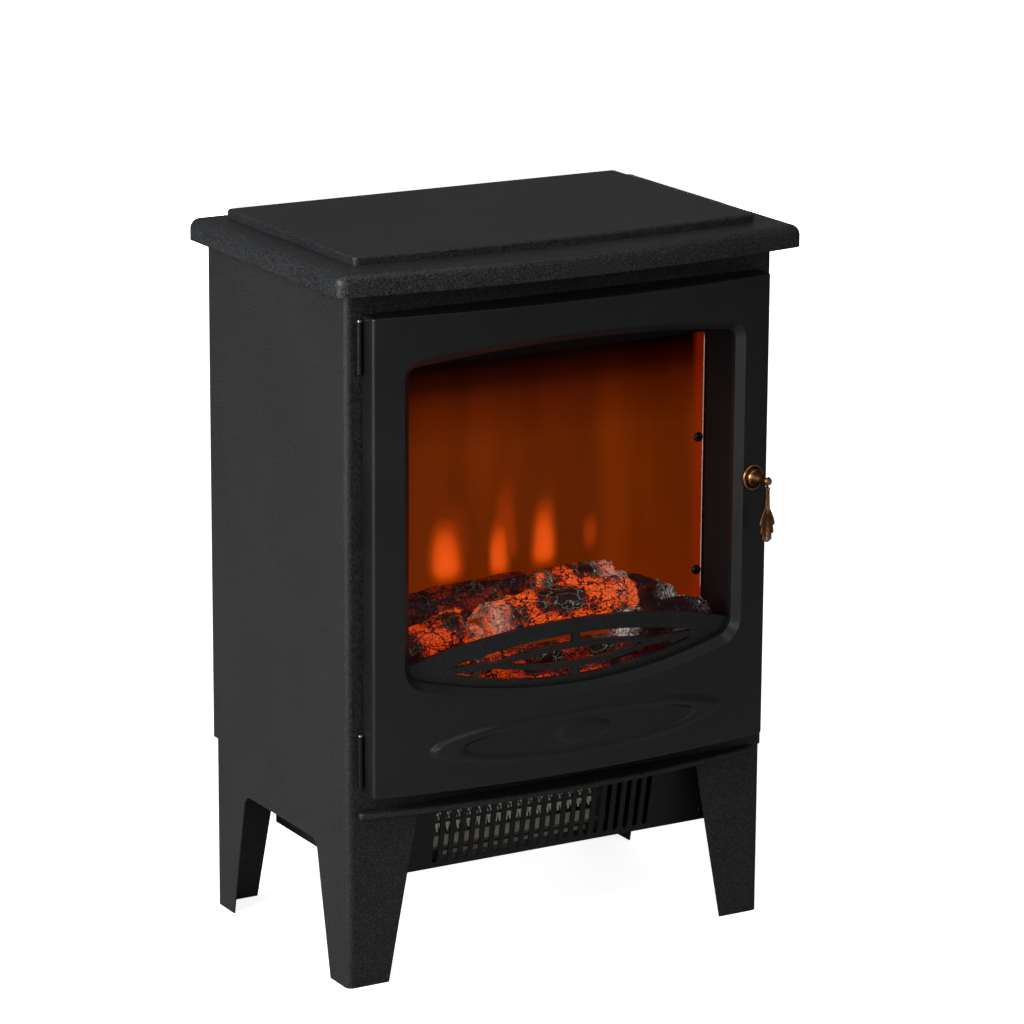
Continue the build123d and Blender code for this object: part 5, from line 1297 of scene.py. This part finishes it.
# Screws that show: node, body, the way that they face, slot and finish.
SCREW_GROUPS = [
    ("flame_screen_screws", "cabinet", (0, -1, 0), "black_screws", "black"),
    ("hinge_screws", "cabinet", (0, -1, 0), "black_screws", "black"),
    ("back_cover_screws", "cabinet", (0, 1, 0), "black_screws", "black"),
    ("base_screws", "cabinet", (0, 0, -1), "zinc_steel", "bright"),
]


class STOVE_OT_screws(bpy.types.Operator):
    """Cross-head screws with domed heads"""

    bl_idname = "stove.screws"
    bl_label = "Screws"

    def execute(self, context):
        head = self.head_shape()
        tree = screw_tree()
        finishes = {
            "black": blackened_steel(),
            "bright": plated_steel("bright_zinc", "#a2a4a6", "#cfd1d3", 0.9 * MM, 0.25),
        }
        for group, (name, body, facing, slot, finish) in enumerate(SCREW_GROUPS):
            facing = Vector(facing)
            points, radius, height = [], 0.0, 0.0
            for low, high in islands(name):
                middle, half = (low + high) / 2, (high - low) / 2
                reach = abs(half.dot(facing))
                across = [abs(half[i]) for i in range(3) if abs(facing[i]) < 0.5]
                radius = max(across)
                height = 0.62 * radius
                points.append(middle + facing * (reach - height))
            piece = grown(points_object(points), tree, name.replace("_screws", "_screw_heads"), {
                "Head": head,
                "Size": (radius, radius, height),
                "Facing": facing,
                "Seed": group,
                "Material": finishes[finish],
            })
            place_piece(piece, body, slot, name)
        bpy.data.objects.remove(head)
        finish_nodes(finishes["black"], "grille_screws")
        return {"FINISHED"}

    def head_shape(self):
        """Domed head of unit radius and height with a cross recess."""
        bm = bmesh.new()
        rings, count = 16, 48
        previous = first_ring = None
        for ring in range(rings, -1, -1):
            share = ring / rings
            current = []
            for step in range(count if ring else 1):
                angle = math.tau * step / count
                x, y = share * math.cos(angle), share * math.sin(angle)
                dome = (1 - share**3.4) ** 0.6
                slot = min(abs(x), abs(y)) < 0.11 and max(abs(x), abs(y)) < 0.58
                current.append(bm.verts.new((x, y, dome - (0.5 if slot else 0.0))))
            first_ring = first_ring or current
            if previous:
                for step in range(count):
                    following = (step + 1) % count
                    if len(current) == 1:
                        bm.faces.new((previous[step], previous[following], current[0]))
                    else:
                        bm.faces.new(
                            (previous[step], previous[following], current[following], current[step])
                        )
            previous = current
        skirt = [bm.verts.new((v.co.x, v.co.y, -0.25)) for v in first_ring]
        for step in range(count):
            following = (step + 1) % count
            bm.faces.new((skirt[step], skirt[following], first_ring[following], first_ring[step]))
        centre = bm.verts.new((0, 0, -0.25))
        for step in range(count):
            bm.faces.new((skirt[(step + 1) % count], skirt[step], centre))
        bmesh.ops.recalc_face_normals(bm, faces=bm.faces)
        return as_object(bm, "screw_head_shape", stove_paint())


class STOVE_OT_heater(bpy.types.Operator):
    """Zigzag heating wires on mica, with the blower behind"""

    bl_idname = "stove.heater"
    bl_label = "Heater"

    def execute(self, context):
        sizes = context.scene.stove_hardware
        low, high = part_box("heater_wires")
        frame_low, frame_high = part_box("heater_element_frame")
        mica = mica_sheet("pressed_mica", "#6f6a5c", "#b9b2a0")
        # The element frame's mica is drawn near black: painted shade inside the heater.
        finish_nodes(mica_sheet("painted_shade_mica", "#15130f", "#2b2720"), "heater_element_frame")
        wire = resistance_wire()
        bend = self.wire_bend(low, high, sizes.wire_radius, sizes.wire_pitch, wire)
        count = int((high.x - low.x) / sizes.wire_pitch)
        tree = row_tree()
        wires = self.repeat(tree, bend, "zigzag_wires", count, (low.x, 0, 0), sizes.wire_pitch)
        place_piece(wires, "cabinet", "heating_wire", "heater_wires")
        self.add_card(frame_low, frame_high, tree, mica)
        steel = plated_steel("motor_laminations", "#3a3b3e", "#5b5d60", 1.2 * MM, 0.45)
        finish_nodes(steel, "fan_motor", "spindle_motor", "thermal_cutout")
        finish_nodes(
            plated_steel("pressed_aluminium", "#a9abad", "#cfd0d2", 5 * MM, 0.35), "fan_rotor",
        )
        return {"FINISHED"}

    def repeat(self, tree, shape, name, count, start, pitch):
        """The shape repeated to the right as one plain mesh, in place of the shape itself."""
        values = {
            "Piece": shape,
            "Count": count,
            "Start": start,
            "Step": (pitch, 0, 0),
            "Material": shape.data.materials[0],
        }
        made = grown(points_object([(0, 0, 0)]), tree, name, values)
        bpy.data.objects.remove(shape)
        return made

    def wire_bend(self, low, high, radius, pitch, wire):
        """One bend of wire that runs down and back up in front and behind the card."""
        bm = bmesh.new()
        for y in (low.y + radius, high.y - radius):
            middle = (low.z + high.z) / 2
            for foot, head in ((low.z + 12 * MM, middle + 3 * MM), (middle + 4 * MM, high.z)):
                reach = head - foot - 2 * radius
                points = []
                for step in range(17):
                    share = step / 16
                    wave = 0.5 - 0.5 * math.cos(math.tau * share)
                    points.append(Vector((pitch * share, y, foot + radius + reach * wave)))
                tube(bm, points, [radius] * len(points), 7)
        return as_object(bm, "wire_bend", wire)

    def add_card(self, low, high, tree, mica):
        """Ribbed mica card behind the lower row of wires."""
        bm = bmesh.new()
        width, depth = 5.0 * MM, 0.8 * MM
        foot, head = low.z + 2 * MM, low.z + 17 * MM
        rib = []
        for x, y in ((0, 0), (width * 0.5, -depth), (width, 0), (width, depth), (0, depth)):
            rib.append((bm.verts.new((x, y, foot)), bm.verts.new((x, y, head))))
        for (a, b), (c, d) in zip(rib, rib[1:] + rib[:1]):
            bm.faces.new((a, c, d, b))
        bm.faces.new([v[0] for v in reversed(rib)])
        bm.faces.new([v[1] for v in rib])
        bmesh.ops.recalc_face_normals(bm, faces=bm.faces)
        shape = as_object(bm, "card_rib", mica)
        middle = (low.y + high.y) / 2
        count = int((high.x - low.x - 8 * MM) / width)
        start = (low.x + 4 * MM, middle, 0)
        place_piece(self.repeat(tree, shape, "ribbed_card", count, start, width), "cabinet", "mica")


class STOVE_OT_fire_works(bpy.types.Operator):
    """Lamps, spindle, terminal block and the cord inlet"""

    bl_idname = "stove.fire_works"
    bl_label = "Fire works"

    def execute(self, context):
        finish_nodes(circuit_board(), "flame_lamp_board", "ember_lamp_board")
        finish_nodes(
            plated_steel("mirror_film", "#d9dadb", "#f2f3f4", 5 * MM, 0.1), "flame_spindle",
        )
        finish_nodes(
            plastic("natural_nylon", "#b9b3a4", "#d8d3c6", 0.45), "spindle_bush", "terminal_block",
        )
        finish_nodes(
            plastic("black_nylon", "#101112", "#1c1d1f", 0.42), "cable_gland", "door_magnet",
        )
        finish_nodes(plastic("phenolic", "#15120f", "#241f1a", 0.4), "thermostat_body")
        return {"FINISHED"}


class STOVE_OT_controls(bpy.types.Operator):
    """Rocker switches and thermostat with its printed ring of ticks"""

    bl_idname = "stove.controls"
    bl_label = "Controls"

    def execute(self, context):
        gloss = plastic("gloss_black_moulding", "#0b0b0c", "#141416", 0.16, 2.5 * MM)
        finish_nodes(gloss, "rocker_lamp", "rocker_low_heat", "rocker_high_heat")
        finish_nodes(plastic("satin_black_moulding", "#0f0f10", "#1a1b1c", 0.4), "rocker_housings")
        finish_nodes(plastic("black_knob", "#111213", "#1d1e20", 0.36), "thermostat_knob")
        self.add_ticks()
        return {"FINISHED"}

    def add_ticks(self):
        """White ticks that grow longer round the knob, printed on the panel."""
        low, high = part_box("thermostat_knob")
        panel_low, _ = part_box("control_panel")
        centre = (low + high) / 2
        ink = plastic("white_screen_print", "#b9babb", "#dcdddd", 0.6)
        bm = bmesh.new()
        ticks, start, sweep = 11, math.radians(-135), math.radians(270)
        for tick in range(ticks):
            angle = start + sweep * tick / (ticks - 1)
            outward = Vector((math.sin(angle), 0, math.cos(angle)))
            sideways = Vector((math.cos(angle), 0, -math.sin(angle)))
            inner, outer = 13.4 * MM, (15.2 + 0.12 * tick) * MM
            front = Vector((centre.x, panel_low.y - 0.12 * MM, centre.z))
            quad = [
                front + outward * reach + sideways * half * MM
                for reach, half in ((inner, -0.3), (inner, 0.3), (outer, 0.4), (outer, -0.4))
            ]
            faces = [bm.verts.new(p) for p in quad]
            backs = [bm.verts.new(p + Vector((0, 0.1 * MM, 0))) for p in quad]
            bm.faces.new(faces)
            bm.faces.new(list(reversed(backs)))
            for k in range(4):
                j = (k + 1) % 4
                bm.faces.new((faces[k], faces[j], backs[j], backs[k]))
        bmesh.ops.recalc_face_normals(bm, faces=bm.faces)
        place_piece(as_object(bm, "dial_ticks", ink), "cabinet", "white_nylon")


class STOVE_PT_panel(bpy.types.Panel):
    """Steps that dress the stove"""

    bl_idname = "STOVE_PT_panel"
    bl_label = "Stove Fireplace"
    bl_space_type = "VIEW_3D"
    bl_region_type = "UI"
    bl_category = "Stove"

    def draw(self, context):
        for step in STEPS:
            self.layout.operator(f"stove.{step}")
        for group in ("stove_view", "stove_fire", "stove_hardware"):
            settings = getattr(context.scene, group)
            box = self.layout.box()
            for name in settings.__annotations__:
                box.prop(settings, name)


STEPS = [
    "stage", "sheet_metal", "door_relief", "flame_screen", "logs", "handle", "screws", "heater",
    "fire_works", "controls",
]
CLASSES = [
    StoveViewSettings, StoveFireSettings, StoveHardwareSettings, STOVE_OT_stage,
    STOVE_OT_sheet_metal, STOVE_OT_door_relief, STOVE_OT_flame_screen, STOVE_OT_logs,
    STOVE_OT_handle, STOVE_OT_screws, STOVE_OT_heater, STOVE_OT_fire_works, STOVE_OT_controls,
    STOVE_PT_panel,
]


def register():
    """Register the classes and hang their settings on the scene."""
    for item in CLASSES:
        bpy.utils.register_class(item)
    bpy.types.Scene.stove_view = bpy.props.PointerProperty(type=StoveViewSettings)
    bpy.types.Scene.stove_fire = bpy.props.PointerProperty(type=StoveFireSettings)
    bpy.types.Scene.stove_hardware = bpy.props.PointerProperty(type=StoveHardwareSettings)


def unregister():
    """Take the settings and classes away again."""
    for name in ("stove_hardware", "stove_fire", "stove_view"):
        delattr(bpy.types.Scene, name)
    for item in reversed(CLASSES):
        bpy.utils.unregister_class(item)


def main():
    """Dress the stove step by step."""
    register()
    for step in STEPS:
        getattr(bpy.ops.stove, step)()


if __name__ == "__main__":
    main()
